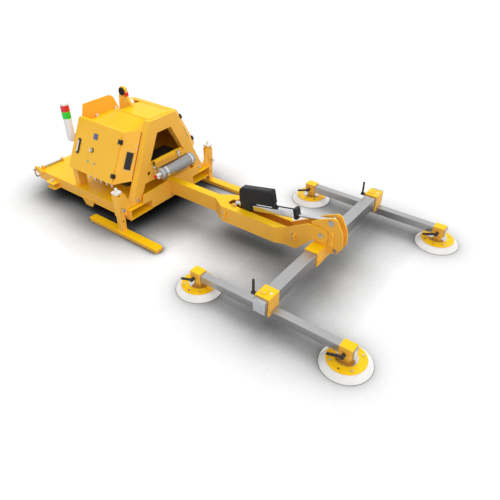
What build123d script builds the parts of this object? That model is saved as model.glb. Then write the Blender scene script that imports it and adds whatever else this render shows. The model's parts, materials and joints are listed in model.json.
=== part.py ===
from build123d import *
import os
from math import atan2, cos, degrees, hypot, radians, sin

# Glass panel lifter, in millimetres, standing on the floor at z = 0.
# x runs towards the suction frame and is measured here from the cross-beam's centre line.
# The machine (base, boom, head) is modelled about its own centre plane; the suction frame
# about its own, which is shifted sideways from the machine by the head's side shift.

overrun = 20.0
running_fit = 0.05
sliding_gap = 0.5

# Overall places
boom_reach = 1462.0
base_length = 1218.0
rear_lug_reach = 32.0
side_shift = 80.0

# Base
base_half = 490.0
side_wall = 8.0
side_bottom = 116.0
side_height = 92.0
pocket_width = 232.0
pocket_height = 86.0
pocket_wall = 5.0
pocket_lift = 2.0
deck_plate = 4.0
cross_member = 60.0
front_beam_depth = 68.0
front_beam_wall = 10.0
front_beam_bottom = 121.0
front_beam_top = 290.0
front_wing = 95.0
front_wing_lean = 17.0
front_wing_drop = 13.0
front_crest = 20.0
rear_rod_radius = 9.0
rear_rod_inset = 35.0
rear_rod_height = 222.0
rear_rod_length = 221.0
rear_rod_margin = 24.0
rear_lug_length = 110.0
rear_lug_height = 60.0
rear_lug_plate = 12.0
tab_length = 170.0
tab_drop = 44.0
tab_rise = 26.0
tab_plate = 8.0
tab_ahead = 605.0
jack_ahead = 190.0
jack_length = 110.0
jack_reach = 64.0
jack_plate = 10.0
jack_gap = 46.0
jack_pin_radius = 11.0
jack_pin_over = 16.0
shackle_radius = 7.0
shackle_half = 21.0
shackle_drop = 74.0
shackle_inset = 14.0

# Legs and their sleeves
leg_ahead = -63.0
leg_clear = 52.0
post_size = 50.0
post_wall = 4.0
post_top = 372.0
post_hole_radius = 8.0
post_hole_low = 122.0
post_hole_pitch = 116.0
sleeve_wall = 4.5
sleeve_bottom = 176.0
sleeve_top = 352.0
bracket_plate = 8.0
bracket_top = 361.0
bracket_low = 186.0
bracket_inset = 50.0
bracket_round = 40.0
cap_height = 14.0
cap_over = 5.0
cap_stem_radius = 7.0
cap_stem = 12.0
cap_knob_radius = 11.0
cap_knob = 18.0
skid_length = 797.0
skid_front_ahead = 359.0
skid_width = 75.0
skid_height = 32.0
skid_round = 16.0
plunger_radius = 7.5
plunger_body_radius = 12.0
plunger_body = 22.0
plunger_ring_radius = 15.0
plunger_ring = 8.0

# A-frame, with its half widths at named heights
frame_depth = 60.0
frame_setback = 34.0
frame_top = 825.0
frame_top_half = 141.0
frame_foot_inset = 56.0
window_top = 717.0
window_top_half = 77.0
window_low = 470.0
frame_leg_foot = 97.0
web_low = 343.0
web_plate = 12.0
web_hole_radius = 18.0
web_hole_out = 214.0
web_hole_height = 414.0
cross_bar_height = 471.0
cross_bar_radius = 17.0

# Lifting beam and crane lug
beam_top_half = 112.0
beam_foot_half = 262.0
beam_front_half = 166.0
beam_foot = 751.0
beam_sheet = 6.0
beam_flat = 315.0
beam_break = 2042.0
beam_tail = 701.0
beam_tail_half = 121.0
top_plate = 4.0
top_plate_ahead = 26.0
lug_plate = 20.0
lug_foot_rear = 1996.0
lug_foot_front = 1822.0
lug_ring_back = 1929.0
lug_rise = 114.0
lug_ring_radius = 40.0
lug_bore_radius = 25.0
lug_bush_radius = 31.0
lug_bush_over = 10.0
lug_neck = 46.0
lug_hole_radius = 8.0
lug_hole_back = 1878.0
lug_hole_rise = 17.0
keeper_half = 15.0
keeper_width = 14.0
keeper_length = 34.0
keeper_drop = 5.0

# Cabinet
cabinet_rear = 2180.0
hinge_line = 1632.0
cabinet_floor = 385.0
cabinet_top = 755.0
cabinet_sheet = 4.0
cabinet_inset = 7.5
cabinet_top_half = 288.0
cabinet_lip = 24.0
door_margin = 22.0
door_plate = 12.0
door_gap = 0.5
door_rear = 2165.0
door_front = 1640.0
door_low = 385.0
door_top = 751.0
foot_length = 60.0
foot_width = 81.0
foot_inset = 115.0
hinge_leaf = 34.0
hinge_plate = 9.0
hinge_heights = (685.0, 443.0)
knuckle_radius = 6.0
knuckle_gap = 0.6
hinge_web = 6.0
vent_length = 138.0
vent_width = 52.0
vent_plate = 5.0
vent_stand = 0.5
vent_height = 543.0
vent_forward = 1588.0
vent_slats = 7
handle_back = 2095.0
handle_height = 557.0
handle_length = 126.0
handle_width = 30.0
handle_plate = 6.0
grip_length = 92.0
grip_width = 16.0
grip_thick = 9.0
grip_shaft_radius = 5.0
switch_back = 1931.0
switch_height = 561.0
switch_radius = 15.0
switch_depth = 20.0
switch_shaft_radius = 5.0
panel_back = 1919.0
panel_height = 662.0
panel_size = 46.0
panel_plate = 4.0
lamp_backs = (1951.0, 1874.0)
lamp_height = 477.0
lamp_radius = 8.0
lamp_depth = 8.0
guard_near = 286.0
guard_near_top = 227.0
guard_far = 160.0
guard_far_top = 77.0
guard_low = 641.0
guard_top = 843.0
guard_plate = 6.0
guard_round = 70.0
guard_foot = 20.0

# Inside the cabinet and below it
ballast_length = 380.0
ballast_inset = 255.0
ballast_back = 2150.0
ballast_round = 34.0
ballast_plates = 5
ballast_gap = 2.0
pump_radius = 55.0
pump_length = 230.0
pump_back = 1990.0
pump_rise = 81.0
pump_foot = 12.0
battery_length = 260.0
battery_width = 170.0
battery_height = 78.0
battery_back = 1700.0
filter_radius = 14.0
filter_height = 62.0
filter_back = 2080.0
filter_inset = 123.0

# Air reservoir
reservoir_back = 1380.0
reservoir_height = 440.0
reservoir_half = 186.0
reservoir_shift = 14.0
reservoir_radius = 51.5
reservoir_dome = 14.0
strap_width = 22.0
strap_wall = 3.0
strap_out = 143.0
strap_plate = 8.0
fitting_radius = 14.0
fitting_length = 46.0
valve_knob_radius = 12.0
valve_knob_length = 16.0

# Signal mast
mast_back = 2215.0
mast_inset = 113.0
mast_radius = 33.0
mast_foot = 575.0
lens_radius = 35.0
lens_low = 766.0
lens_mid = 823.0
lens_top = 875.0
mast_cap = 14.0
mast_bracket_rise = 60.0
mast_bracket_plate = 6.0

# Boom
boom_root_half = 33.0
boom_root_low = 165.0
boom_root_top = 290.0
boom_wall = 8.0
boom_box_low = 160.0
boom_box_top = 292.0
boom_box_half = 105.0
kink_back = 958.0
box_rear = 845.0
box_front = 345.0
neck_back = 278.0
tip_outer = 52.0
slot_half = 38.0
slot_rear = 812.0
slot_front = 307.0
neck_low_back = 273.0
neck_low = 138.0
chin_back = 186.0
chin_low = 139.0
shoulder_back = 279.0
brow_back = 103.0
brow_top = 391.0
tip_boss_radius = 56.0
strip_length = 12.0
strip_height = 62.0
strip_out = 20.0
strip_bolt_back = 20.0
strip_back = 802.0
strip_centre = 225.0
strip_bolt_radius = 7.0
strip_bolt = 6.0
tip_strip_back = 197.0
tip_strip_centre = 240.0

# Head, with the cam plate's corners as shares of its length and height
pivot_ahead = 8.0
pivot_height = 336.0
pivot_radius = 14.0
pivot_cap_radius = 20.0
pivot_cap = 8.0
cam_inner = 28.0
cam_plate = 10.0
cam_rear = 80.0
cam_length = 252.0
cam_low = 206.0
cam_height = 289.0
cam_toe = 8.0
cam_heel = 44.0
cam_shares = (
    (0.071, 0.325), (0.0, 0.706), (0.206, 0.83), (0.627, 1.0), (0.734, 0.99), (0.778, 0.958), (0.901, 0.758),
    (0.952, 0.678), (0.992, 0.509), (1.0, 0.27), (0.984, 0.221), (0.901, 0.121), (0.877, 0.066), (0.599, 0.0),
)
hub_radius = 32.0
upper_pin_ahead = 72.0
upper_pin_height = 455.0
upper_pin_radius = 14.0
upper_pin_nose = 11.0
upper_pin_gap = 1.0
upper_pin_head_radius = 22.0
lower_pin_ahead = 123.0
lower_pin_height = 246.0
lower_pin_radius = 10.0
lower_pin_head = 7.0
lower_pin_head_radius = 16.0
stiffener_low = 318.0
stiffener_top = 382.0
stiffener_rear = 74.0
stiffener_front = 112.0
head_sleeve_half = 156.0
head_sleeve_wall = 6.0
head_sleeve_top = 259.0
keeper_plate_half = 30.0
keeper_plate_low = 200.0
keeper_plate = 6.0
keeper_out = 118.0

# Actuator
rear_pin_back = 767.0
rear_pin_height = 286.0
rear_pin_radius = 12.0
rear_pin_cap_radius = 19.0
rear_pin_cap = 6.0
rear_eye_radius = 22.0
rear_eye_half = 16.0
rear_bracket_plate = 10.0
rear_bracket_radius = 26.0
body_start = 40.0
body_end = 545.0
body_half = 23.0
body_wall = 5.0
gearbox_start = 58.0
gearbox_end = 166.0
gearbox_drop = 28.0
housing_start = 84.0
housing_end = 378.0
housing_low = 48.0
housing_top = 166.0
housing_half = 37.0
housing_chamfer = 16.0
housing_round = 22.0
housing_leg = 46.0
housing_leg_run = 12.0
housing_leg_half = 17.0
gland_length = 26.0
gland_half = 28.0
gland_top = 54.0
rod_radius = 14.5
rod_inner = 300.0
rod_eye_radius = 23.0
rod_eye_half = 15.0
rod_collar_radius = 19.0
rod_collar = 24.0
nut_length = 26.0
wire_radius = 5.0
wire_over = 41.0

# Suction frame
cross_half_width = 45.0
cross_low = 151.0
cross_height = 100.0
cross_half = 850.0
cross_wall = 5.0
beam_cap = 5.0
side_beam_out = 766.0
side_beam_size = 60.0
side_beam_wall = 4.0
side_beam_rear = 610.0
side_beam_front = 630.0
carriage_half = 58.0
carriage_wall = 8.0
carriage_top_over = 8.0
carriage_inner_low = 142.0
carriage_outer_low = 118.0
carriage_lip = 7.0
carriage_lip_reach = 12.0
lid_plate = 5.0
lid_rear = 40.0
lid_front = 7.0
lid_half = 30.0
lid_cut = 10.0
lid_screw_radius = 4.0
lid_screw = 3.0
lid_screw_inset = 9.0
pin_head_radius = 8.0
pin_head = 6.0
pin_head_ahead = 32.0
carriage_lever_reach = 85.0
carriage_lever_height = 236.0
lever_hub_radius = 13.0
lever_hub = 22.0
lever_stud_radius = 6.0
lever_length = 100.0
lever_width = 15.0
lever_thick = 11.0
lever_tip_radius = 9.0

# Pads
pad_ahead = 577.3
pad_radius = 165.0
pad_lip = 5.0
pad_lip_inner = 155.0
pad_seat_radius = 126.0
pad_seat_height = 41.0
pad_hollow = 20.0
pad_hollow_radius = 118.0
plate_thick = 6.0
plate_boss_radius = 70.0
plate_boss = 6.0
plate_bolt_circle = 103.0
plate_bolt_radius = 8.0
plate_bolt = 7.0
plate_bolts = 8
holder_length = 88.0
holder_wall = 5.0
holder_top_wall = 7.5
holder_bottom_wall = 7.5
neck_length = 56.0
neck_width = 46.0
tongue_length = 70.0
tongue_width = 36.0
tongue_thick = 7.0
pad_lever_height = 119.0
pad_lever_drop = 20.0
pad_lever_stud = 34.0

# Places worked out from the sizes above
front_x = -boom_reach
rear_x = front_x - base_length
front_end = pad_ahead + pad_radius
rear_end = rear_x - rear_lug_reach
centre_x = -(front_end + rear_end) / 2
body_y = -side_shift
side_top = side_bottom + side_height
leg_out = base_half + leg_clear
pocket_outer = base_half - side_wall
pocket_inner = pocket_outer - pocket_width
front_wing_foot = pocket_inner + front_wing
front_wing_top = front_wing_foot - front_wing_lean
front_wing_height = front_beam_top - front_wing_drop
front_crest_half = boom_root_half + front_crest
rear_rod_outer = base_half - rear_rod_margin
rear_rod_inner = rear_rod_outer - rear_rod_length
bracket_inner = base_half - bracket_inset
foot_out = base_half - foot_inset
ballast_half = base_half - ballast_inset
filter_out = base_half - filter_inset
mast_out = base_half - mast_inset
pocket_low = side_bottom + pocket_lift
pocket_top = pocket_low + pocket_height
deck_top = pocket_top + deck_plate
beam_rear_x = front_x - front_beam_depth
frame_front_x = front_x - frame_setback
frame_rear_x = frame_front_x - frame_depth
leg_x = front_x + leg_ahead
lug_ring_height = frame_top + lug_rise
frame_foot_half = base_half - frame_foot_inset
window_foot_half = frame_foot_half - frame_leg_foot
cabinet_floor_half = base_half - cabinet_inset
frame_lean = (frame_foot_half - frame_top_half) / (frame_top - deck_top)
window_lean = (window_foot_half - window_top_half) / (window_top - deck_top)
cabinet_lean = (cabinet_floor_half - cabinet_top_half) / (cabinet_top - cabinet_floor)
cabinet_front = -frame_rear_x
cabinet_roof = beam_foot
tail_roof = beam_tail
pump_height = cabinet_floor + cabinet_sheet + pump_rise
sleeve_size = post_size + 2 * (sleeve_wall + sliding_gap)
post_pin_height = post_hole_low + post_hole_pitch
skid_front_x = front_x + skid_front_ahead
cross_top = cross_low + cross_height
side_beam_top = cross_low - sliding_gap
side_beam_low = side_beam_top - side_beam_size
side_beam_mid = side_beam_top - side_beam_size / 2
plate_top = pad_seat_height + plate_thick
hinge_axis_out = door_gap + door_plate + hinge_plate / 2
upper_pin_head = tip_outer - boom_wall - cam_inner - cam_plate - upper_pin_gap
axis_rise = upper_pin_height - rear_pin_height
axis_run = upper_pin_ahead + rear_pin_back
axis_length = hypot(axis_run, axis_rise)
axis_angle = degrees(atan2(axis_rise, axis_run))


def block(x0, x1, y0, y1, z0, z1):
    """A box between two planes along each axis."""
    middle = Pos((x0 + x1) / 2, (y0 + y1) / 2, (z0 + z1) / 2)
    return middle * Box(x1 - x0, y1 - y0, z1 - z0)


def side_plate(outline, y0, y1):
    """A plate drawn in side view (x, z), from y0 to y1."""
    return extrude(Plane.XZ.offset(-y1) * outline, y1 - y0, dir=(0, -1, 0))


def front_plate(outline, x0, x1):
    """A plate drawn in front view (y, z), from x0 to x1."""
    return extrude(Plane.YZ.offset(x0) * outline, x1 - x0, dir=(1, 0, 0))


def flat_plate(outline, z0, z1):
    """A plate drawn in plan (x, y), from z0 to z1."""
    return extrude(Plane.XY.offset(z0) * outline, z1 - z0, dir=(0, 0, 1))


def shape_of(points):
    return Polygon(*points, align=None)


def round_bar(start, end, radius):
    """A round bar between two points."""
    path = Vector(*end) - Vector(*start)
    return extrude(Plane(origin=start, z_dir=path) * Circle(radius), path.length)


def cross_pin(x, z, y0, y1, radius):
    """A round pin along y."""
    return round_bar((x, y0, z), (x, y1, z), radius)


def both_sides(shape):
    """The shape and its mirror image across the machine's centre plane."""
    return shape + mirror(shape, Plane.XZ)


def square_tube(length, width, height, wall):
    """A hollow rectangular tube along x, centred, with rounded outer corners."""
    section = RectangleRounded(width, height, wall) - Rectangle(width - 2 * wall, height - 2 * wall)
    return Pos(-length / 2, 0, 0) * extrude(Plane.YZ * section, length)


def frame_half(height):
    """Half width of the A-frame's outside at a height."""
    return frame_top_half + frame_lean * (frame_top - height)


def window_half(height):
    """Half width of the A-frame's inside at a height."""
    return window_top_half + window_lean * (window_top - height)


def cabinet_side(height):
    """Half width of the cabinet's outside at a height."""
    return cabinet_top_half + cabinet_lean * (cabinet_top - height)


def leaning_prism(rear, hinge, front, low, top, inset):
    """The cabinet's body between two heights, drawn in by an inset on its sides."""
    sections = []
    for height in (low, top):
        wide = cabinet_side(height) - inset
        narrow = frame_half(height) - inset
        half_plan = [(rear, wide), (hinge, wide), (front, narrow)]
        other_half = [(x, -y) for x, y in reversed(half_plan)]
        sections.append(Plane.XY.offset(height) * shape_of(half_plan + other_half))
    return loft(sections, ruled=True)


def base_rails():
    """Side plates with their foot flanges, and the cross members between the pockets."""
    side = block(rear_x, front_x, pocket_outer, base_half, side_bottom, side_top)
    rails = both_sides(side)
    for x in (rear_x, rear_x + base_length / 3, rear_x + 2 * base_length / 3):
        member = block(x, x + cross_member, -pocket_inner, pocket_inner, pocket_low, pocket_top)
        inside = block(
            x + pocket_wall, x + cross_member + overrun, -pocket_inner, pocket_inner,
            pocket_low + pocket_wall, pocket_top - pocket_wall,
        )
        rails += member - inside
    return rails


def base_deck():
    plate = block(rear_x, beam_rear_x, -pocket_outer, pocket_outer, pocket_top, deck_top)
    return plate


def fork_pockets():
    middle_y = (pocket_inner + pocket_outer) / 2
    tube = square_tube(base_length, pocket_width, pocket_height, pocket_wall)
    placed = Pos((front_x + rear_x) / 2, middle_y, (pocket_low + pocket_top) / 2) * tube
    return both_sides(placed)


def front_beam():
    """The box beam between the pockets, and the plate on its front with a wing over each pocket."""
    half = [
        (pocket_inner, front_beam_bottom), (pocket_inner, pocket_top), (front_wing_foot, pocket_top),
        (front_wing_top, front_wing_height), (front_crest_half, front_beam_top),
    ]
    outline = shape_of(half + [(-y, z) for y, z in reversed(half)])
    beam = front_plate(outline, front_x - front_beam_wall, front_x)
    beam += block(beam_rear_x, front_x, -pocket_inner, pocket_inner, front_beam_bottom, pocket_top)
    inner_half = pocket_inner - front_beam_wall
    hollow = block(
        beam_rear_x + front_beam_wall, front_x - front_beam_wall, -inner_half, inner_half,
        front_beam_bottom + front_beam_wall, pocket_top - front_beam_wall,
    )
    boom_hole = block(
        beam_rear_x, front_x + overrun, -boom_root_half, boom_root_half,
        boom_root_low, boom_root_top,
    )
    return beam - hollow - boom_hole


def rear_rod():
    x = rear_x + rear_rod_inset
    return both_sides(cross_pin(x, rear_rod_height, rear_rod_inner, rear_rod_outer, rear_rod_radius))


def rear_lugs():
    """Lug plates at the rear corners, with the holes for the rod and the shackle."""
    outer_y = base_half
    rounded = Pos(rear_end + rear_lug_height / 2, side_top) * Circle(rear_lug_height / 2)
    bar = shape_of([
        (rear_end + rear_lug_height / 2, side_top - rear_lug_height / 2),
        (rear_end + rear_lug_length, side_top - rear_lug_height / 2),
        (rear_end + rear_lug_length, side_top),
        (rear_end + rear_lug_height / 2, side_top + rear_lug_height / 2),
    ])
    hole = Pos(rear_end + shackle_inset, side_top) * Circle(shackle_radius + sliding_gap)
    corner = side_plate(rounded + bar - hole, outer_y, outer_y + rear_lug_plate)
    rod_x = rear_x + rear_rod_inset
    ear = Pos(rod_x, rear_rod_height) * Circle(2 * rear_rod_radius)
    foot = shape_of([
        (rod_x - 2 * rear_rod_radius, deck_top), (rod_x + 2 * rear_rod_radius, deck_top),
        (rod_x + 2 * rear_rod_radius, rear_rod_height), (rod_x - 2 * rear_rod_radius, rear_rod_height),
    ])
    eye = Pos(rod_x, rear_rod_height) * Circle(rear_rod_radius)
    ears = side_plate(ear + foot - eye, rear_rod_inner, rear_rod_inner + rear_lug_plate)
    ears += side_plate(ear + foot - eye, rear_rod_outer - rear_lug_plate, rear_rod_outer)
    return both_sides(corner + ears)


def lashing_brackets():
    """The hanging tab on each rail, and the clevis with its pin near the rear."""
    tab_x = rear_x + tab_ahead
    tab_outline = shape_of([
        (tab_x, side_bottom + tab_rise), (tab_x + tab_length, side_bottom + tab_rise),
        (tab_x + tab_length - tab_drop, side_bottom - tab_drop), (tab_x + tab_drop, side_bottom - tab_drop),
    ])
    tabs = side_plate(tab_outline, base_half, base_half + tab_plate)
    jack_x = rear_x + jack_ahead
    ear_x = jack_x + jack_length / 2
    for z in (side_bottom, side_bottom + jack_gap):
        ear = flat_plate(
            Pos(ear_x, base_half + jack_reach / 2) * RectangleRounded(jack_length, jack_reach, jack_reach / 3),
            z, z + jack_plate,
        )
        tabs += ear + block(
            jack_x, jack_x + jack_length, base_half, base_half + jack_reach / 2, z, z + jack_plate,
        )
    pin_y = base_half + jack_reach / 2
    hole_top = side_bottom + jack_gap + jack_plate + overrun
    tabs -= round_bar((ear_x, pin_y, side_bottom - overrun), (ear_x, pin_y, hole_top), jack_pin_radius)
    return both_sides(tabs)


def lashing_pins():
    ear_x = rear_x + jack_ahead + jack_length / 2
    pin_y = base_half + jack_reach / 2
    low = side_bottom - jack_pin_over
    top = side_bottom + jack_gap + jack_plate
    pin = round_bar((ear_x, pin_y, low), (ear_x, pin_y, top), jack_pin_radius)
    pin += round_bar((ear_x, pin_y, top), (ear_x, pin_y, top + jack_pin_over), 2 * shackle_radius)
    return both_sides(pin)


def rear_shackle():
    """A bow of round bar through the near rear lug, hanging down."""
    x = rear_end + shackle_inset
    y = -base_half - rear_lug_plate / 2
    top = side_top
    bend = shackle_half - shackle_radius
    path = Polyline(
        (x, y - shackle_half, top), (x, y - shackle_half, top - shackle_drop + bend),
        (x, y - shackle_half + bend, top - shackle_drop), (x, y + shackle_half - bend, top - shackle_drop),
        (x, y + shackle_half, top - shackle_drop + bend), (x, y + shackle_half, top),
    )
    start = Plane(origin=(x, y - shackle_half, top), z_dir=(0, 0, -1))
    bow = sweep(start * Circle(shackle_radius), path=path, transition=Transition.ROUND)
    across = round_bar(
        (x, y - shackle_half - 2 * shackle_radius, top), (x, y + shackle_half + 2 * shackle_radius, top),
        shackle_radius,
    )
    return bow + across


def leg_sleeves():
    """A square sleeve for each post, on a rounded bracket plate beside the A-frame's foot."""
    height = sleeve_top - sleeve_bottom
    section = RectangleRounded(sleeve_size, sleeve_size, sleeve_wall)
    section -= Rectangle(post_size + 2 * sliding_gap, post_size + 2 * sliding_gap)
    sleeve = Pos(leg_x, leg_out, sleeve_bottom) * extrude(section, height)
    inner_y = leg_out - sleeve_size / 2
    outline = shape_of([
        (inner_y, bracket_low), (base_half, bracket_low), (base_half, side_top),
        (bracket_inner, side_top), (bracket_inner, bracket_low + bracket_round),
        (inner_y - bracket_round / 2, bracket_top), (inner_y, bracket_top),
    ])
    outline = fillet(outline.vertices().sort_by(Axis.Y)[-2], bracket_round / 3)
    plate_x = leg_x + post_size / 2
    bracket = front_plate(outline, plate_x - bracket_plate, plate_x)
    foot = block(
        leg_x - post_size / 2, plate_x, base_half, inner_y, side_bottom + bracket_round, side_top,
    )
    face_hole = round_bar(
        (leg_x, leg_out, post_pin_height), (leg_x + sleeve_size, leg_out, post_pin_height),
        plunger_radius + running_fit,
    )
    return both_sides(sleeve + bracket + foot - face_hole)


def leg_plungers():
    """The spring plunger that locks each post, drawn out of its hole."""
    face = leg_x + sleeve_size / 2
    nose = round_bar(
        (face - sleeve_wall, leg_out, post_pin_height), (face, leg_out, post_pin_height), plunger_radius,
    )
    body = round_bar(
        (face, leg_out, post_pin_height), (face + plunger_body, leg_out, post_pin_height),
        plunger_body_radius,
    )
    ring = round_bar(
        (face + plunger_body, leg_out, post_pin_height),
        (face + plunger_body + plunger_ring, leg_out, post_pin_height), plunger_ring_radius,
    )
    return both_sides(nose + body + ring)


def leg(side):
    """A post with its locking holes, welded on a skid with rounded ends."""
    section = RectangleRounded(post_size, post_size, post_wall)
    section -= Rectangle(post_size - 2 * post_wall, post_size - 2 * post_wall)
    y = side * leg_out
    post = Pos(leg_x, y, skid_height) * extrude(section, post_top - skid_height)
    for step in range(3):
        z = post_hole_low + step * post_hole_pitch
        post -= round_bar((leg_x - post_size, y, z), (leg_x + post_size, y, z), post_hole_radius)
    skid_x = skid_front_x - skid_length / 2
    outline = Pos(skid_x, y + side * (skid_width - post_size) / 4) * RectangleRounded(
        skid_length, skid_width, skid_round,
    )
    return post + flat_plate(outline, 0, skid_height)


def leg_cap(side):
    """The post's cap, with a stem and a knob."""
    y = side * leg_out
    size = post_size + 2 * cap_over
    top = post_top + cap_height
    cap = Pos(leg_x, y, post_top) * extrude(RectangleRounded(size, size, cap_over), cap_height)
    cap += round_bar((leg_x, y, top), (leg_x, y, top + cap_stem), cap_stem_radius)
    cap += round_bar((leg_x, y, top + cap_stem), (leg_x, y, top + cap_stem + cap_knob), cap_knob_radius)
    return cap


def a_frame():
    """Two leaning legs of box section, joined at the top, with a web plate between their feet."""
    outer = [(frame_half(deck_top), deck_top), (frame_half(frame_top), frame_top)]
    inner = [(window_half(deck_top), deck_top), (window_half(window_top), window_top)]
    ring = shape_of(outer + [(-y, z) for y, z in reversed(outer)])
    ring -= shape_of(inner + [(-y, z) for y, z in reversed(inner)])
    frame = front_plate(ring, frame_rear_x, frame_front_x)
    web_half = [(window_half(web_low), web_low), (window_half(window_low), window_low)]
    web = shape_of(web_half + [(-y, z) for y, z in reversed(web_half)])
    for side in (-1, 1):
        web -= Pos(side * web_hole_out, web_hole_height) * Circle(web_hole_radius)
    frame += front_plate(web, frame_front_x - web_plate, frame_front_x)
    return frame


def cross_bar():
    """A round bar behind the web plate, let into both legs."""
    half = window_half(cross_bar_height) + cross_bar_radius
    x = frame_front_x - web_plate - cross_bar_radius - sliding_gap
    return cross_pin(x, cross_bar_height, -half, half, cross_bar_radius)


def beam_section(x, inset, ahead=0.0):
    """The lifting beam's cross-section at a place along it."""
    behind = max(0.0, (-beam_break - x) / (cabinet_rear - beam_break))
    before = max(0.0, (x + hinge_line) / (frame_rear_x + hinge_line))
    foot = beam_foot + behind * (beam_tail - beam_foot)
    foot_half = beam_foot_half + behind * (beam_tail_half - beam_foot_half)
    foot_half += before * (beam_front_half - beam_foot_half)
    top = beam_slope(x)
    top_half = min(beam_top_half, foot_half - beam_sheet)
    points = [
        (foot_half - inset, foot), (top_half - inset, top - inset),
        (inset - top_half, top - inset), (inset - foot_half, foot),
    ]
    return Plane.YZ.offset(x + ahead) * shape_of(points)


def lifting_beam():
    """The hipped housing of sheet behind the A-frame, and the plate on its top."""
    level_x = frame_rear_x - beam_flat
    places = (-cabinet_rear, -beam_break, level_x, -hinge_line, frame_rear_x)
    outer = Part()
    for rear, front in zip(places, places[1:]):
        outer += loft([beam_section(rear, 0), beam_section(front, 0)], ruled=True)
    hollow = loft([beam_section(level_x, beam_sheet), beam_section(-hinge_line, beam_sheet)], ruled=True)
    hollow += loft([beam_section(-hinge_line, beam_sheet), beam_section(frame_rear_x, beam_sheet)], ruled=True)
    cover = block(
        level_x, frame_rear_x + top_plate_ahead, -beam_top_half, beam_top_half, frame_top,
        frame_top + top_plate,
    )
    return outer - hollow + (cover - crane_lug())


def beam_slope(x):
    """Height of the lifting beam's top at a place along it."""
    level_x = frame_rear_x - beam_flat
    if x > level_x:
        return frame_top
    share = (level_x - x) / (level_x + cabinet_rear)
    return frame_top - share * (frame_top - beam_tail - beam_sheet)


def crane_lug():
    """The lug plate: a long foot, a neck and a ring for the crane's shackle."""
    x_ring = -lug_ring_back
    foot = [
        (-lug_foot_rear, beam_slope(-lug_foot_rear)), (frame_rear_x - beam_flat, frame_top),
        (-lug_foot_front, frame_top), (x_ring + lug_neck, lug_ring_height - lug_ring_radius),
        (x_ring + lug_ring_radius, lug_ring_height), (x_ring - lug_ring_radius, lug_ring_height),
        (x_ring - lug_neck, lug_ring_height - lug_ring_radius),
    ]
    outline = shape_of(foot) + Pos(x_ring, lug_ring_height) * Circle(lug_ring_radius)
    outline -= Pos(x_ring, lug_ring_height) * Circle(lug_bush_radius)
    outline -= Pos(-lug_hole_back, frame_top + lug_hole_rise) * Circle(lug_hole_radius)
    return side_plate(outline, -lug_plate / 2, lug_plate / 2)


def lug_bush():
    half = lug_plate / 2 + lug_bush_over
    ring = cross_pin(-lug_ring_back, lug_ring_height, -half, half, lug_bush_radius)
    return ring - cross_pin(
        -lug_ring_back, lug_ring_height, -half - overrun, half + overrun, lug_bore_radius,
    )


def lug_keeper():
    """The red clip over the front rim of the lug's ring."""
    x = -lug_ring_back + lug_bush_radius + running_fit
    top = lug_ring_height - keeper_drop
    clip = block(x, x + keeper_width, -keeper_half, keeper_half, top - keeper_length, top)
    bush = cross_pin(-lug_ring_back, lug_ring_height, -lug_neck, lug_neck, lug_bush_radius + running_fit)
    return clip - bush - crane_lug()


def roof_slab(low, high):
    """The space between two heights measured from the roof's line, which falls towards the rear."""
    line = [(-cabinet_rear - overrun, tail_roof), (-cabinet_rear, tail_roof), (-beam_break, cabinet_roof),
            (-cabinet_front, cabinet_roof)]
    outline = [(x, z + high) for x, z in line] + [(x, z + low) for x, z in reversed(line)]
    wide = cabinet_side(cabinet_floor) + overrun
    return side_plate(shape_of(outline), -wide, wide)


def cabinet_shell():
    """The sheet housing: floor, rear wall, roof, parapets and the bent front strips."""
    outer = leaning_prism(-cabinet_rear, -hinge_line, -cabinet_front, cabinet_floor, cabinet_top, 0)
    inner = leaning_prism(
        -cabinet_rear + cabinet_sheet, -hinge_line - cabinet_sheet / 2, -cabinet_front,
        cabinet_floor + cabinet_sheet, cabinet_top, cabinet_sheet,
    )
    trough = leaning_prism(
        -cabinet_rear - overrun, -hinge_line - cabinet_sheet / 2, -cabinet_front,
        tail_roof - overrun, cabinet_top + overrun, cabinet_sheet,
    )
    depth = cabinet_top - cabinet_floor
    shell = outer - (inner & roof_slab(-depth, -cabinet_sheet)) - (trough & roof_slab(0, depth))
    shell += lip_strips()
    opening = door_block(door_margin, overrun, 2 * overrun)
    shell -= both_sides(opening)
    return shell - lifting_space() - a_frame_space()


def lip_strips():
    """The flanges folded inwards along the parapets' tops."""
    wide = cabinet_side(cabinet_top) - cabinet_sheet / 2
    strip = block(
        -cabinet_rear, -hinge_line, wide - cabinet_lip, wide, cabinet_top - cabinet_sheet, cabinet_top,
    )
    return both_sides(strip)


def lifting_space():
    """The opening in the roof under the lifting beam."""
    half = beam_front_half - 2 * beam_sheet
    low = tail_roof - overrun
    return block(frame_rear_x - beam_flat, frame_front_x, -half, half, low, beam_foot)


def a_frame_space():
    """The A-frame's outline filled in, to trim what butts against it."""
    outer = [(frame_half(deck_top), deck_top), (frame_half(frame_top), frame_top)]
    ring = shape_of(outer + [(-y, z) for y, z in reversed(outer)])
    return front_plate(ring, frame_rear_x, frame_front_x + overrun)


def door_plane(side):
    """The plane of a cabinet side: x along the machine, y up the slope, z outwards."""
    low = cabinet_side(door_low)
    normal = (0, side, cabinet_lean)
    return Plane(origin=(-hinge_line, side * low, door_low), x_dir=(-side, 0, 0), z_dir=normal)


def on_door(side, back, height, outwards=0.0):
    """A point on a cabinet side, from its distance back and its height."""
    run = hypot(cabinet_lean, 1) * (height - door_low)
    local_x = side * (back - hinge_line)
    return door_plane(side).location * Pos(local_x, run, outwards)


def door_block(margin, inside, outside):
    """A slab over the far door's rectangle, drawn in by a margin."""
    length = door_rear - door_front
    rise = hypot(cabinet_lean, 1) * (door_top - door_low)
    middle_back = (door_rear + door_front) / 2
    place = door_plane(1).location * Pos(middle_back - hinge_line, rise / 2, (outside - inside) / 2)
    return place * Box(length - 2 * margin, rise - 2 * margin, inside + outside)


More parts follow.
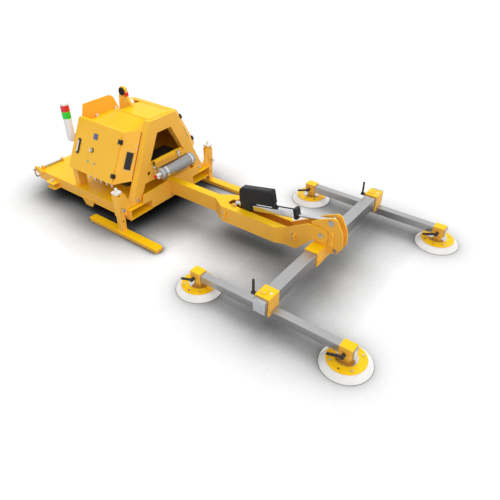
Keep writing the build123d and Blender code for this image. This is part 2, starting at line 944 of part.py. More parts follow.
def door(side):
    """A door of folded sheet with a rounded rim, and its halves of the hinges."""
    length = door_rear - door_front
    rise = hypot(cabinet_lean, 1) * (door_top - door_low)
    middle_back = (door_rear + door_front) / 2
    place = door_plane(side).location * Pos(side * (middle_back - hinge_line), rise / 2, door_gap)
    outline = RectangleRounded(length, rise, door_plate)
    panel = extrude(outline, door_plate)
    tray = Box(length - 4 * door_plate, rise - 4 * door_plate, door_plate)
    panel -= tray
    leaves = Part()
    for height in hinge_heights:
        leaf = Box(hinge_leaf / 2, hinge_leaf, hinge_plate)
        leaves += on_door(side, hinge_line + hinge_leaf / 2, height, hinge_axis_out) * leaf
        web = Box(door_front - hinge_line + hinge_web, hinge_leaf / 2 - knuckle_gap, hinge_web)
        middle = Pos(0, -hinge_leaf / 4, 0)
        leaves += on_door(side, (hinge_line + door_front + hinge_web) / 2, height, hinge_axis_out) * middle * web
        leaves += on_door(side, hinge_line, height, hinge_axis_out) * middle * knuckle()
    return place * panel + leaves


def knuckle():
    """Half of a hinge's barrel, along the slope of the door."""
    length = hinge_leaf / 2 - knuckle_gap
    return Rot(90, 0, 0) * Cylinder(knuckle_radius, length)


def hinge_leaves():
    """The fixed halves of the door hinges, on the cabinet's front strips."""
    stand = hinge_axis_out - knuckle_radius - sliding_gap
    front_back = hinge_line - hinge_leaf / 4
    leaves = Part()
    for side in (-1, 1):
        for height in hinge_heights:
            leaf = Box(door_front - front_back, hinge_leaf, stand)
            leaves += on_door(side, (door_front + front_back) / 2, height, stand / 2) * leaf
            middle = Pos(0, hinge_leaf / 4, 0)
            web = Box(hinge_web, hinge_leaf / 2 - knuckle_gap, hinge_axis_out - stand)
            leaves += on_door(side, hinge_line, height, (hinge_axis_out + stand) / 2) * middle * web
            leaves += on_door(side, hinge_line, height, hinge_axis_out) * middle * knuckle()
    return leaves - a_frame_space() - cabinet_body()


def cabinet_body():
    return leaning_prism(-cabinet_rear, -hinge_line, -cabinet_front, cabinet_floor, cabinet_top, 0)


def door_handle(side):
    """The grip of a door's swing handle."""
    stand = door_gap + door_plate + handle_plate
    grip = extrude(RectangleRounded(grip_width, grip_length, grip_width / 3), grip_thick)
    grip += Pos(0, 0, -handle_plate / 2) * Cylinder(grip_shaft_radius, handle_plate)
    return on_door(side, handle_back, handle_height, stand) * grip


def door_fittings(side):
    """The handle's surround, and on the near door the blank square and the lamps."""
    stand = door_gap + door_plate
    outline = RectangleRounded(handle_width, handle_length, handle_width / 3)
    surround = extrude(outline - Circle(grip_shaft_radius + running_fit), handle_plate)
    parts = on_door(side, handle_back, handle_height, stand) * surround
    if side < 0:
        square = extrude(Rectangle(panel_size, panel_size), panel_plate)
        parts += on_door(side, panel_back, panel_height, stand) * square
        for back in lamp_backs:
            parts += on_door(side, back, lamp_height, stand) * extrude(Circle(lamp_radius), lamp_depth)
        collar = extrude(Circle(switch_radius + panel_plate), panel_plate)
        parts += on_door(side, switch_back, switch_height, stand) * collar
    return parts


def rotary_switch():
    """The rotary knob on the near door, with a grip bar across it."""
    stand = door_gap + door_plate + panel_plate
    knob = extrude(Circle(switch_radius), switch_depth / 2)
    knob += Pos(0, 0, switch_depth * 3 / 4) * Box(2 * switch_shaft_radius, 2 * switch_radius, switch_depth / 2)
    return on_door(-1, switch_back, switch_height, stand) * knob


def cabinet_feet():
    x = -cabinet_rear
    foot = block(x, x + foot_length, foot_out, foot_out + foot_width, deck_top, cabinet_floor)
    return both_sides(foot)


def vent_grilles():
    """A slatted grille on each front strip of the cabinet."""
    bend = degrees(atan2(cabinet_side(vent_height) - frame_half(vent_height), hinge_line - cabinet_front))
    grille = Box(vent_width, vent_plate, vent_length)
    pitch = vent_length / (vent_slats + 1)
    for slat in range(vent_slats):
        z = (slat + 1) * pitch - vent_length / 2
        grille -= Pos(0, vent_plate / 2, z) * Box(vent_width - pitch, vent_plate, pitch / 2)
    travel = (hinge_line - vent_forward) / (hinge_line - cabinet_front)
    wide = cabinet_side(vent_height)
    y = wide + travel * (frame_half(vent_height) - wide)
    mean_lean = (cabinet_lean + frame_lean) / 2
    lean = degrees(atan2(mean_lean * cos(radians(bend)), 1))
    slant = degrees(atan2(mean_lean * sin(radians(bend)), 1))
    placed = Pos(-vent_forward, y, vent_height) * Rot(0, 0, -bend) * Rot(lean, 0, 0) * Rot(0, slant, 0)
    return both_sides(placed * Pos(0, vent_stand + vent_plate / 2, 0) * grille)


def rear_guard():
    """The upright plate bolted to the cabinet's rear wall, with a foot on the roof."""
    outline = shape_of([
        (-guard_near, guard_low), (-guard_near_top, guard_top), (guard_far_top, guard_top), (guard_far, guard_low),
    ])
    far_corner = outline.vertices().sort_by(Axis.Y)[-2:].sort_by(Axis.X)[-1:]
    outline = fillet(far_corner, guard_round)
    plate = front_plate(outline, -cabinet_rear - guard_plate, -cabinet_rear)
    foot = block(
        -cabinet_rear, -cabinet_rear + guard_foot, -beam_tail_half, beam_tail_half,
        beam_tail + beam_sheet, beam_tail + beam_sheet + guard_plate,
    )
    return plate + (foot - lifting_beam() - roof_slab(-guard_foot, 0))


def ballast():
    """Counterweight plates stacked on the deck under the cabinet."""
    height = cabinet_floor - deck_top
    each = (height - (ballast_plates - 1) * ballast_gap) / ballast_plates
    x = -ballast_back
    outline = RectangleRounded(ballast_length, 2 * ballast_half, ballast_round)
    stack = Part()
    for step in range(ballast_plates):
        z = deck_top + step * (each + ballast_gap)
        plate = Pos(x + ballast_length / 2, 0, z) * extrude(outline, each + ballast_gap)
        if step < ballast_plates - 1:
            groove = Pos(x + ballast_length / 2, 0, z + each) * extrude(outline, ballast_gap)
            core = Pos(x + ballast_length / 2, 0, z + each) * extrude(
                RectangleRounded(
                    ballast_length - ballast_round, 2 * ballast_half - ballast_round, ballast_round / 2,
                ),
                ballast_gap,
            )
            plate -= groove - core
        else:
            plate = Pos(x + ballast_length / 2, 0, z) * extrude(outline, each)
        stack += plate
    return stack


def vacuum_pump():
    """The pump and its motor, lying on a foot on the cabinet's floor."""
    floor = cabinet_floor + cabinet_sheet
    x = -pump_back
    body = round_bar((x, 0, pump_height), (x + pump_length, 0, pump_height), pump_radius)
    body += block(
        x + pump_foot, x + pump_length - pump_foot, -pump_radius, pump_radius, floor, floor + pump_foot,
    )
    body += block(
        x + 2 * pump_foot, x + pump_length - 2 * pump_foot, -pump_radius / 2, pump_radius / 2,
        floor, pump_height,
    )
    return body


def battery():
    floor = cabinet_floor + cabinet_sheet
    x = -battery_back
    case = block(x, x + battery_length / 2, -battery_width, battery_width, floor, floor + battery_height)
    for side in (-1, 1):
        y = side * battery_width / 2
        top = floor + battery_height
        case += round_bar(
            (x + battery_length / 4, y, top), (x + battery_length / 4, y, top + pump_foot), pump_foot,
        )
    return case


def filter_bowl():
    x = -filter_back
    y = -filter_out
    top = cabinet_floor
    bowl = round_bar((x, y, top - filter_height), (x, y, top), filter_radius)
    return bowl + round_bar((x, y, top - pump_foot), (x, y, top), filter_radius + pump_foot / 2)


def reservoir():
    """The air tank with shallow domed ends."""
    half = reservoir_half
    rim = half - reservoir_dome
    profile = make_face(
        Polyline((0, -half), (reservoir_radius / 2, -half))
        + ThreePointArc(
            (reservoir_radius / 2, -half),
            (reservoir_radius - reservoir_dome / 3, -half + reservoir_dome / 3),
            (reservoir_radius, -rim),
        )
        + Polyline((reservoir_radius, -rim), (reservoir_radius, rim))
        + ThreePointArc(
            (reservoir_radius, rim),
            (reservoir_radius - reservoir_dome / 3, half - reservoir_dome / 3),
            (reservoir_radius / 2, half),
        )
        + Polyline((reservoir_radius / 2, half), (0, half), (0, -half))
    )
    tank = revolve(profile, Axis.Y)
    return Pos(-reservoir_back, -reservoir_shift, reservoir_height) * tank


def reservoir_brackets():
    """Straps round the tank, each on a plate that is bolted to the A-frame."""
    outer = reservoir_radius + strap_wall
    x = -reservoir_back
    plates = Part()
    for y in (-reservoir_shift - strap_out, -reservoir_shift + strap_out):
        y0 = y - strap_width / 2
        y1 = y + strap_width / 2
        ring = cross_pin(x, reservoir_height, y0, y1, outer)
        arm = block(
            frame_front_x, x, y0, y1, reservoir_height - strap_plate, reservoir_height + strap_plate,
        )
        pad = block(
            frame_front_x, frame_front_x + strap_plate, y0, y1,
            reservoir_height - outer, reservoir_height + outer,
        )
        bore = cross_pin(x, reservoir_height, y0 - overrun, y1 + overrun, reservoir_radius)
        plates += ring + arm + pad - bore
    return plates


def reservoir_fitting():
    """The white valve body on the tank's near end."""
    x = -reservoir_back
    y = -reservoir_shift - reservoir_half
    body = cross_pin(x, reservoir_height, y - fitting_length, y, fitting_radius)
    return body + round_bar(
        (x, y - fitting_length / 2, reservoir_height),
        (x, y - fitting_length / 2, reservoir_height - 2 * fitting_radius), fitting_radius * 3 / 4,
    )


def valve_knob():
    x = -reservoir_back
    y = -reservoir_shift - reservoir_half - fitting_length - sliding_gap
    return cross_pin(x, reservoir_height, y - valve_knob_length, y, valve_knob_radius)


def signal_mast():
    """The tube, its bracket on the cabinet's rear edge, and the white cap."""
    x = -mast_back
    y = -mast_out
    mast = round_bar((x, y, mast_foot), (x, y, lens_low), mast_radius)
    mast += block(
        x, -cabinet_rear, y - mast_bracket_plate / 2, y + mast_bracket_plate / 2,
        mast_foot, mast_foot + mast_bracket_rise,
    )
    mast += block(
        -cabinet_rear - mast_bracket_plate, -cabinet_rear, y - mast_radius, y + 2 * mast_radius,
        mast_foot, mast_foot + mast_bracket_rise,
    )
    return mast


def signal_cap():
    x = -mast_back
    y = -mast_out
    return round_bar((x, y, lens_top), (x, y, lens_top + mast_cap), lens_radius)


def signal_lens(low, top):
    x = -mast_back
    y = -mast_out
    return round_bar((x, y, low), (x, y, top), lens_radius)


def boom_plan(outer_shift):
    """One side of the boom's plan, from its root to its tip."""
    return [
        (beam_rear_x, boom_root_half - outer_shift), (-kink_back, boom_root_half - outer_shift),
        (-box_rear, boom_box_half - outer_shift), (-box_front, boom_box_half - outer_shift),
        (-neck_back, tip_outer - outer_shift), (pivot_ahead + tip_boss_radius, tip_outer - outer_shift),
    ]


def boom_side():
    """The boom's side view, ending in the round boss of the tip."""
    outline = shape_of([
        (beam_rear_x, boom_root_low), (beam_rear_x, boom_root_top), (-kink_back, boom_root_top),
        (-box_rear, boom_box_top), (-shoulder_back, boom_box_top), (-brow_back, brow_top),
        (pivot_ahead, pivot_height + tip_boss_radius), (pivot_ahead, pivot_height),
        (-chin_back, chin_low), (-neck_low_back, neck_low), (-box_front, boom_box_low),
        (-box_rear, boom_box_low), (-kink_back, boom_root_low),
    ])
    return outline + Pos(pivot_ahead, pivot_height) * Circle(tip_boss_radius)


def boom_walls(rear, front):
    """The near and far walls between two places, bent to the plan and cut to the side view."""
    wall = shape_of(boom_plan(0) + list(reversed(boom_plan(boom_wall))))
    low = neck_low - overrun
    top = brow_top + overrun
    profile = side_plate(boom_side(), -boom_box_half - overrun, boom_box_half + overrun)
    stretch = block(rear, front, 0, boom_box_half + overrun, low, top)
    return flat_plate(wall, low, top) & profile & stretch


def boom_body():
    """The root, the box with its open slot, the actuator's brackets and the bolted strips."""
    closed = [(x, y) for x, y in boom_plan(0) if x <= -neck_back]
    plan = shape_of(closed + [(x, -y) for x, y in reversed(closed)])
    slot_length = slot_rear - slot_front
    slot = Pos(-(slot_rear + slot_front) / 2, 0) * RectangleRounded(
        slot_length + 2 * overrun, 2 * slot_half, overrun,
    )
    slot += shape_of([
        (-slot_front, -slot_half), (-slot_front, slot_half), (-neck_back + overrun, slot_half),
        (-neck_back + overrun, -slot_half),
    ])
    top_plate = flat_plate(plan - slot, boom_box_top - boom_wall, boom_box_top)
    bottom_plate = flat_plate(plan, boom_box_low, boom_box_low + boom_wall)
    root_box = block(
        beam_rear_x, -kink_back, -boom_root_half, boom_root_half, boom_root_low, boom_root_top,
    )
    root_hollow = block(
        beam_rear_x - overrun, -kink_back, -boom_root_half + boom_wall, boom_root_half - boom_wall,
        boom_root_low + boom_wall, boom_root_top - boom_wall,
    )
    ahead = block(-kink_back, -neck_back, -boom_box_half, boom_box_half, boom_box_low, boom_box_top)
    shape = both_sides(boom_walls(beam_rear_x, -neck_back))
    shape += (top_plate & ahead) + (bottom_plate & ahead) + (root_box - root_hollow)
    shape += rear_brackets() + both_sides(boom_strip(strip_back, strip_centre, boom_box_half))
    outer_half = slot_half + rear_bracket_plate
    shape -= cross_pin(-rear_pin_back, rear_pin_height, -outer_half, outer_half, rear_pin_radius)
    shape -= both_sides(cross_pin(
        -rear_pin_back, rear_pin_height, outer_half, outer_half + rear_pin_cap + sliding_gap,
        rear_pin_cap_radius + sliding_gap,
    ))
    return shape


def boom_tip():
    """The far plate of the boom's tip, from the neck to the round boss."""
    front = pivot_ahead + tip_boss_radius + overrun
    plate = boom_walls(-neck_back, front) + boom_strip(tip_strip_back, tip_strip_centre, tip_outer)
    return plate - cross_pin(pivot_ahead, pivot_height, 0, boom_box_half, pivot_radius)


def boom():
    """The boom's body, with a plate welded to each side of its neck."""
    far_tip = boom_tip()
    return Compound([boom_body(), far_tip, mirror(far_tip, Plane.XZ)])


def rear_brackets():
    """Two lug plates in the slot that carry the actuator's rear pin."""
    x = -rear_pin_back
    outline = Pos(x, rear_pin_height) * Circle(rear_bracket_radius)
    outline += shape_of([
        (x - rear_bracket_radius, rear_pin_height), (x + rear_bracket_radius, rear_pin_height),
        (x + rear_bracket_radius, boom_box_low), (x - rear_bracket_radius, boom_box_low),
    ])
    return both_sides(side_plate(outline, slot_half, slot_half + rear_bracket_plate))


def boom_strip(back, centre, out):
    """A rounded strip welded on edge to a boom wall, and the two bolt heads behind it."""
    outline = Pos(out, centre) * RectangleRounded(2 * strip_out, strip_height, strip_out - strip_length / 2)
    strip = front_plate(outline, -back - strip_length / 2, -back + strip_length / 2)
    strip -= block(
        -back - strip_length, -back + strip_length, 0, out, centre - strip_height, centre + strip_height,
    )
    for rise in (-strip_height / 3, strip_height / 3):
        strip += cross_pin(-back - strip_bolt_back, centre + rise, out, out + strip_bolt, strip_bolt_radius)
    return strip


def boom_pins():
    """The actuator's rear pin and the head's main pivot pin, with their caps."""
    rear_half = slot_half + rear_bracket_plate
    pins = cross_pin(-rear_pin_back, rear_pin_height, -rear_half, rear_half, rear_pin_radius)
    pins += both_sides(cross_pin(
        -rear_pin_back, rear_pin_height, rear_half, rear_half + rear_pin_cap, rear_pin_cap_radius,
    ))
    pins += cross_pin(pivot_ahead, pivot_height, -tip_outer, tip_outer, pivot_radius)
    pins += both_sides(cross_pin(
        pivot_ahead, pivot_height, tip_outer, tip_outer + pivot_cap, pivot_cap_radius,
    ))
    return pins


def along_actuator(s, over=0.0):
    """The frame at a distance along the actuator's axis, with x along it and z across it."""
    place = Pos(-rear_pin_back, 0, rear_pin_height) * Rot(0, -axis_angle, 0)
    return place * Pos(s, 0, over)


def bar_along(start, end, radius, over=0.0):
    """A round bar along the actuator."""
    return along_actuator(start, over) * extrude(Plane.YZ * Circle(radius), end - start)


def actuator_body():
    """The outer tube with its rear eye."""
    length = body_end - body_start
    tube = along_actuator(body_start + length / 2) * square_tube(
        length, 2 * body_half, 2 * body_half, body_wall,
    )
    plug = along_actuator(body_start + body_wall) * Box(
        2 * body_wall, 2 * body_half - 2 * body_wall, 2 * body_half - 2 * body_wall,
    )
    eye = cross_pin(-rear_pin_back, rear_pin_height, -rear_eye_half, rear_eye_half, rear_eye_radius)
    shank = along_actuator(body_start / 2) * Box(body_start, 2 * rear_eye_half, 2 * rear_eye_half)
    bore = cross_pin(
        -rear_pin_back, rear_pin_height, -body_half, body_half, rear_pin_radius + running_fit,
    )
    return tube + plug + eye + shank - bore


def actuator_motor():
    """The gearbox astride the tube and the rounded motor housing above it, with its front leg."""
    cut = housing_chamfer
    profile = shape_of([
        (gearbox_start, -gearbox_drop), (gearbox_end, -gearbox_drop), (gearbox_end, housing_low),
        (housing_end - cut, housing_low), (housing_end, housing_low + cut), (housing_end, housing_top - cut),
        (housing_end - cut, housing_top), (housing_start + cut, housing_top),
        (housing_start, housing_top - cut), (gearbox_start, gearbox_drop),
    ])
    middle = (gearbox_start + housing_end) / 2
    length = housing_end - gearbox_start
    height = housing_top + gearbox_drop
    plan = Pos(middle, 0) * RectangleRounded(length, 2 * housing_half, housing_round)
    section = Pos(0, (housing_top - gearbox_drop) / 2) * RectangleRounded(2 * housing_half, height, cut)
    housing = side_plate(profile, -housing_half, housing_half)
    housing = housing & flat_plate(plan, -gearbox_drop, housing_top)
    housing = housing & front_plate(section, gearbox_start, housing_end)
    slot = Pos(middle, 0, 0) * Box(length + overrun, 2 * body_half, 2 * body_half)
    leg_rear = housing_end - housing_leg
    foot_front = housing_end + housing_leg_run
    leg_outline = shape_of([
        (leg_rear, housing_low + running_fit), (housing_end - cut / 2, housing_low + cut / 2),
        (foot_front, body_half), (foot_front - housing_leg / 2, body_half),
    ])
    front_leg = side_plate(leg_outline, -housing_leg_half, housing_leg_half)
    return along_actuator(0) * (housing - slot + front_leg)


def actuator_gland():
    """The black gland at the tube's front end, and the guide rod from the motor housing."""
    height = gland_top + gland_half
    block_part = along_actuator(body_end + gland_length / 2, (gland_top - gland_half) / 2) * Box(
        gland_length, 2 * gland_half, height,
    )
    bore = bar_along(body_end - overrun, body_end + gland_length + overrun, rod_radius + running_fit)
    wire = bar_along(housing_end - housing_chamfer, body_end + running_fit, wire_radius, wire_over)
    return block_part + wire - bore


def actuator_rod():
    """The push rod with its nut, collar and front eye."""
    rod = bar_along(rod_inner, axis_length - rod_eye_radius / 2, rod_radius)
    half = body_half - body_wall - sliding_gap
    rod += along_actuator(rod_inner) * Box(nut_length, 2 * half, 2 * half)
    collar_end = axis_length - rod_eye_radius / 2
    rod += bar_along(collar_end - rod_collar, collar_end, rod_collar_radius)
    eye = cross_pin(upper_pin_ahead, upper_pin_height, -rod_eye_half, rod_eye_half, rod_eye_radius)
    inside = cross_pin(
        upper_pin_ahead, upper_pin_height, -rod_eye_radius, rod_eye_radius, upper_pin_radius,
    )
    cheeks = block(
        upper_pin_ahead - rod_eye_radius * 2, upper_pin_ahead + rod_eye_radius, -rod_collar_radius,
        rod_collar_radius, upper_pin_height - rod_eye_radius * 2, upper_pin_height + rod_eye_radius,
    )
    slab = block(
        upper_pin_ahead - rod_eye_radius * 2, upper_pin_ahead + rod_eye_radius, -rod_eye_half,
        rod_eye_half, upper_pin_height - rod_eye_radius * 2, upper_pin_height + rod_eye_radius,
    )
    return rod + eye - inside - (cheeks - slab)


def cam_outline():
    """The cam plate in side view."""
    sleeve_front = cross_half_width + sliding_gap + head_sleeve_wall
    corners = [(cam_length * along - cam_rear, cam_low + cam_height * up) for along, up in cam_shares]
    return shape_of(corners + [
        (sleeve_front, cam_low + cam_toe), (sleeve_front, head_sleeve_top), (-cam_heel, head_sleeve_top),
    ])


def head_plates():
    """Two cam plates, their hub on the main pivot, and the box stiffener between them."""
    outline = cam_outline()
    outline -= Pos(pivot_ahead, pivot_height) * Circle(pivot_radius + running_fit)
    plates = both_sides(side_plate(outline, cam_inner, cam_inner + cam_plate))
    hub = cross_pin(pivot_ahead, pivot_height, -cam_inner, cam_inner, hub_radius)
    hub -= cross_pin(pivot_ahead, pivot_height, -boom_box_half, boom_box_half, pivot_radius + running_fit)
    stiffener = block(
        stiffener_rear, stiffener_front, -cam_inner, cam_inner, stiffener_low, stiffener_top,
    )
    return plates + hub + stiffener


def head_sleeve():
    """The sleeve round the cross-beam, with its clamp plate on the front."""
    half_x = cross_half_width + sliding_gap + head_sleeve_wall
    low = cross_low - sliding_gap - head_sleeve_wall
    sleeve = block(-half_x, half_x, -head_sleeve_half, head_sleeve_half, low, head_sleeve_top)
    sleeve -= block(
        -half_x + head_sleeve_wall, half_x - head_sleeve_wall, -head_sleeve_half - overrun,
        head_sleeve_half + overrun, cross_low - sliding_gap, cross_top + sliding_gap,
    )
    clamp = block(
        half_x, half_x + keeper_plate, -keeper_out - keeper_plate_half, -keeper_out + keeper_plate_half,
        low + head_sleeve_wall, keeper_plate_low,
    )
    bolt = round_bar(
        (half_x + keeper_plate, -keeper_out, (low + keeper_plate_low) / 2),
        (half_x + keeper_plate + strip_bolt, -keeper_out, (low + keeper_plate_low) / 2), strip_bolt_radius,
    )
    return sleeve + clamp + bolt


def head_pins():
    """Stub pins for the rod's eye, and the pin through the lower lug."""
    outer = cam_inner + cam_plate
    stub = cross_pin(upper_pin_ahead, upper_pin_height, outer, outer + upper_pin_head, upper_pin_head_radius)
    stub += cross_pin(
        upper_pin_ahead, upper_pin_height, cam_inner - upper_pin_nose, cam_inner, upper_pin_radius,
    )
    pins = both_sides(stub)
    pins += cross_pin(lower_pin_ahead, lower_pin_height, -cam_inner, cam_inner, lower_pin_radius)
    pins += both_sides(cross_pin(
        lower_pin_ahead, lower_pin_height, outer, outer + lower_pin_head, lower_pin_head_radius,
    ))
    return pins


def cross_beam():
    """The aluminium cross-beam of the suction frame."""
    tube = square_tube(2 * cross_half, 2 * cross_half_width, cross_height, cross_wall)
    return Pos(0, 0, cross_low + cross_height / 2) * Rot(0, 0, 90) * tube


def beam_caps():
    cap = block(
        -cross_half_width, cross_half_width, cross_half, cross_half + beam_cap, cross_low, cross_top,
    )
    return both_sides(cap)


def side_beam(side):
    length = side_beam_rear + side_beam_front
    x = (side_beam_front - side_beam_rear) / 2
    tube = square_tube(length, side_beam_size, side_beam_size, side_beam_wall)
    return Pos(x, side * side_beam_out, side_beam_mid) * tube


def carriage(side):
    """The clamp that carries a side beam under the cross-beam."""
    y = side * side_beam_out
    half_y = carriage_half
    inner_x = cross_half_width + sliding_gap
    outer_x = inner_x + carriage_wall
    top = cross_top + sliding_gap
    lid_top = top + carriage_top_over
    body = block(-outer_x, outer_x, y - half_y, y + half_y, cross_low, lid_top)
    for x0, x1 in ((-outer_x, -inner_x), (inner_x, outer_x)):
        body += block(x0, x1, y - half_y, y, carriage_outer_low, lid_top)
        body += block(x0, x1, y, y + half_y, carriage_inner_low, lid_top)
    body -= block(-inner_x, inner_x, y - half_y - overrun, y + half_y + overrun, 0, top)
    beam_half = side_beam_size / 2
    body -= block(-outer_x - overrun, outer_x + overrun, y - beam_half, y + beam_half, 0, side_beam_top)
    for x in (-inner_x, inner_x - carriage_lip_reach):
        for y0, y1 in ((y - half_y, y - beam_half), (y + beam_half, y + half_y)):
            body += block(
                x, x + carriage_lip_reach, y0, y1, side_beam_top - carriage_lip, side_beam_top,
            )
    lid = shape_of([
        (-lid_rear, y - lid_half + lid_cut), (-lid_rear + lid_cut, y - lid_half),
        (lid_front - lid_cut, y - lid_half), (lid_front, y - lid_half + lid_cut),
        (lid_front, y + lid_half - lid_cut), (lid_front - lid_cut, y + lid_half),
        (-lid_rear + lid_cut, y + lid_half), (-lid_rear, y + lid_half - lid_cut),
    ])
    body += flat_plate(lid, lid_top, lid_top + lid_plate)
    for x in (-lid_rear + lid_screw_inset, lid_front - lid_screw_inset):
        for out in (-lid_half + lid_screw_inset, lid_half - lid_screw_inset):
            body += round_bar(
                (x, y + out, lid_top + lid_plate), (x, y + out, lid_top + lid_plate + lid_screw),
                lid_screw_radius,
            )
    body += round_bar(
        (pin_head_ahead, y, lid_top), (pin_head_ahead, y, lid_top + pin_head), pin_head_radius,
    )
    stud_y = y - lid_half
    body += round_bar(
        (-carriage_lever_reach, stud_y, carriage_lever_height), (-outer_x, stud_y, carriage_lever_height),
        lever_stud_radius,
    )
    return body


def carriage_lever(side):
    """The clamp lever on a carriage's rear, upright on its hub."""
    y = side * side_beam_out - lid_half
    x = -carriage_lever_reach
    hub = round_bar((x, y, carriage_lever_height), (x + lever_hub, y, carriage_lever_height), lever_hub_radius)
    hub += round_bar(
        (x, y, carriage_lever_height), (x - lever_hub / 2, y, carriage_lever_height), lever_hub_radius,
    )
    arm = front_plate(
        Pos(y, carriage_lever_height + lever_length / 2) * RectangleRounded(
            lever_width, lever_length, lever_width / 3,
        ),
        x - lever_thick / 2, x + lever_thick / 2,
    )
    tip = Pos(x, y, carriage_lever_height + lever_length) * Sphere(lever_tip_radius)
    bore = round_bar(
        (x, y, carriage_lever_height), (x + 2 * lever_hub, y, carriage_lever_height),
        lever_stud_radius + running_fit,
    )
    return hub + arm + tip - bore


def pad_holder(end, side):
    """The sleeve on the side beam, its neck and tongue, the backing plate and its bolts."""
    x = end * pad_ahead
    y = side * side_beam_out
    inner = side_beam_size / 2 + sliding_gap
    outer_y = inner + holder_wall
    half_x = holder_length / 2
    low = side_beam_low - sliding_gap - holder_bottom_wall
    top = side_beam_top + sliding_gap + holder_top_wall
    sleeve = block(x - half_x, x + half_x, y - outer_y, y + outer_y, low, top)
    sleeve -= block(
        x - half_x - overrun, x + half_x + overrun, y - inner, y + inner,
        side_beam_low - sliding_gap, side_beam_top + sliding_gap,
    )
    neck = Pos(x, y, plate_top) * extrude(
        RectangleRounded(neck_length, neck_width, holder_wall), low - plate_top,
    )
    far_x = x - end * (half_x + tongue_length)
    tongue = block(
        min(x, far_x), max(x, far_x), y - tongue_width / 2, y + tongue_width / 2, low, low + tongue_thick,
    )
    plate = Pos(x, y, pad_seat_height) * extrude(Circle(pad_seat_radius), plate_thick)
    plate += Pos(x, y, plate_top) * extrude(Circle(plate_boss_radius), plate_boss)
    for step in range(plate_bolts):
        angle = radians(360 * step / plate_bolts)
        if step % (plate_bolts / 2):
            plate += Pos(
                x + plate_bolt_circle * cos(angle), y + plate_bolt_circle * sin(angle), plate_top,
            ) * extrude(RegularPolygon(plate_bolt_radius, 6), plate_bolt)
    stud_end = y - outer_y - pad_lever_stud
    stud = cross_pin(x, pad_lever_height, stud_end, y - outer_y, lever_stud_radius)
    return sleeve + neck + tongue + plate + stud


def suction_cup(end, side):
    """A saucer-shaped cup: a thick back, a flared skirt and a lip on the floor."""
    profile = shape_of([
        (0, pad_hollow), (pad_hollow_radius, pad_hollow), (pad_lip_inner, pad_lip),
        (pad_lip_inner + pad_lip, 0), (pad_radius, 0), (pad_radius, pad_lip),
        (pad_radius - pad_lip, 2 * pad_lip), (pad_seat_radius, pad_seat_height), (0, pad_seat_height),
    ])
    cup = revolve(Plane.XZ * profile, Axis.Z)
    return Pos(end * pad_ahead, side * side_beam_out, 0) * cup


def pad_lever(end, side):
    """The clamp lever of a pad holder: a hub on the stud and an arm sloping down."""
    x = end * pad_ahead
    outer_y = side_beam_size / 2 + sliding_gap + holder_wall
    y = side * side_beam_out - outer_y - pad_lever_stud
    z = pad_lever_height
    hub = cross_pin(x, z, y - lever_hub / 2, y + lever_hub, lever_hub_radius)
    arm_outline = Pos(-lever_length / 2, 0) * RectangleRounded(lever_length, lever_width, lever_width / 3)
    arm = side_plate(arm_outline, -lever_thick / 2, lever_thick / 2)
    arm += Pos(-lever_length, 0, 0) * Sphere(lever_tip_radius)
    placed = Pos(x, y, z) * Rot(0, -pad_lever_drop, 0) * arm
    bore = cross_pin(x, z, y, y + 2 * lever_hub, lever_stud_radius + running_fit)
    return hub + placed - bore


machine_nodes = {
    "base_frame": base_rails() + base_deck() + rear_lugs() + lashing_brackets(),
    "fork_pockets": fork_pockets(),
    "front_beam": front_beam(),
    "rear_hardware": rear_rod() + rear_shackle() + lashing_pins(),
    "leg_sleeves": leg_sleeves(),
    "leg_plungers": leg_plungers(),
    "near_leg": leg(-1) + leg_cap(-1),
    "far_leg": leg(1) + leg_cap(1),
    "a_frame": a_frame() + cross_bar(),
    "lifting_beam": lifting_beam(),
    "crane_lug": crane_lug(),
    "lug_bush": lug_bush(),
    "lug_keeper": lug_keeper(),
    "cabinet_shell": cabinet_shell() + cabinet_feet(),
    "cabinet_fittings": hinge_leaves() + vent_grilles(),
    "near_door": door(-1),
    "far_door": door(1) + door_fittings(1),
    "near_door_handle": door_handle(-1),
    "far_door_handle": door_handle(1),
    "near_door_fittings": door_fittings(-1),
    "rotary_switch": rotary_switch(),
    "rear_guard": rear_guard(),
    "ballast": ballast(),
    "vacuum_pump": vacuum_pump() + filter_bowl(),
    "battery": battery(),
    "reservoir": reservoir(),
    "reservoir_brackets": reservoir_brackets(),
    "reservoir_fitting": reservoir_fitting(),
    "valve_knob": valve_knob(),
    "signal_mast": signal_mast() + signal_cap(),
    "signal_red": signal_lens(lens_mid, lens_top),
    "signal_green": signal_lens(lens_low, lens_mid),
    "boom": boom(),
    "boom_pins": boom_pins(),
    "actuator_body": actuator_body(),
    "actuator_motor": actuator_motor() + actuator_gland(),
    "actuator_rod": actuator_rod(),
    "head_plates": head_plates(),
    "head_sleeve": head_sleeve(),
    "head_pins": head_pins(),
}

frame_nodes = {
    "cross_beam": cross_beam(),
    "beam_caps": beam_caps(),
    "side_beam_near": side_beam(-1),
    "side_beam_far": side_beam(1),
    "carriage_near": carriage(-1),
    "carriage_far": carriage(1),
    "carriage_lever_near": carriage_lever(-1),
    "carriage_lever_far": carriage_lever(1),
}
for end, end_name in ((-1, "rear"), (1, "front")):
    for side, side_name in ((-1, "near"), (1, "far")):
        name = side_name + "_" + end_name
        frame_nodes["pad_holder_" + name] = pad_holder(end, side)
        frame_nodes["cup_" + name] = suction_cup(end, side)
        frame_nodes["pad_lever_" + name] = pad_lever(end, side)

os.makedirs("parts", exist_ok=True)
for name, shape in machine_nodes.items():
    export_step(Pos(centre_x, body_y, 0) * shape, f"parts/{name}.step")
for name, shape in frame_nodes.items():
    export_step(Pos(centre_x, 0, 0) * shape, f"parts/{name}.step")
print("nodes", len(machine_nodes) + len(frame_nodes))
print("centre_x", round(centre_x, 3))
print("actuator length and angle", round(axis_length, 3), round(axis_angle, 3))
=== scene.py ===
import json
from math import atan2, cos, hypot, pi, radians, sin

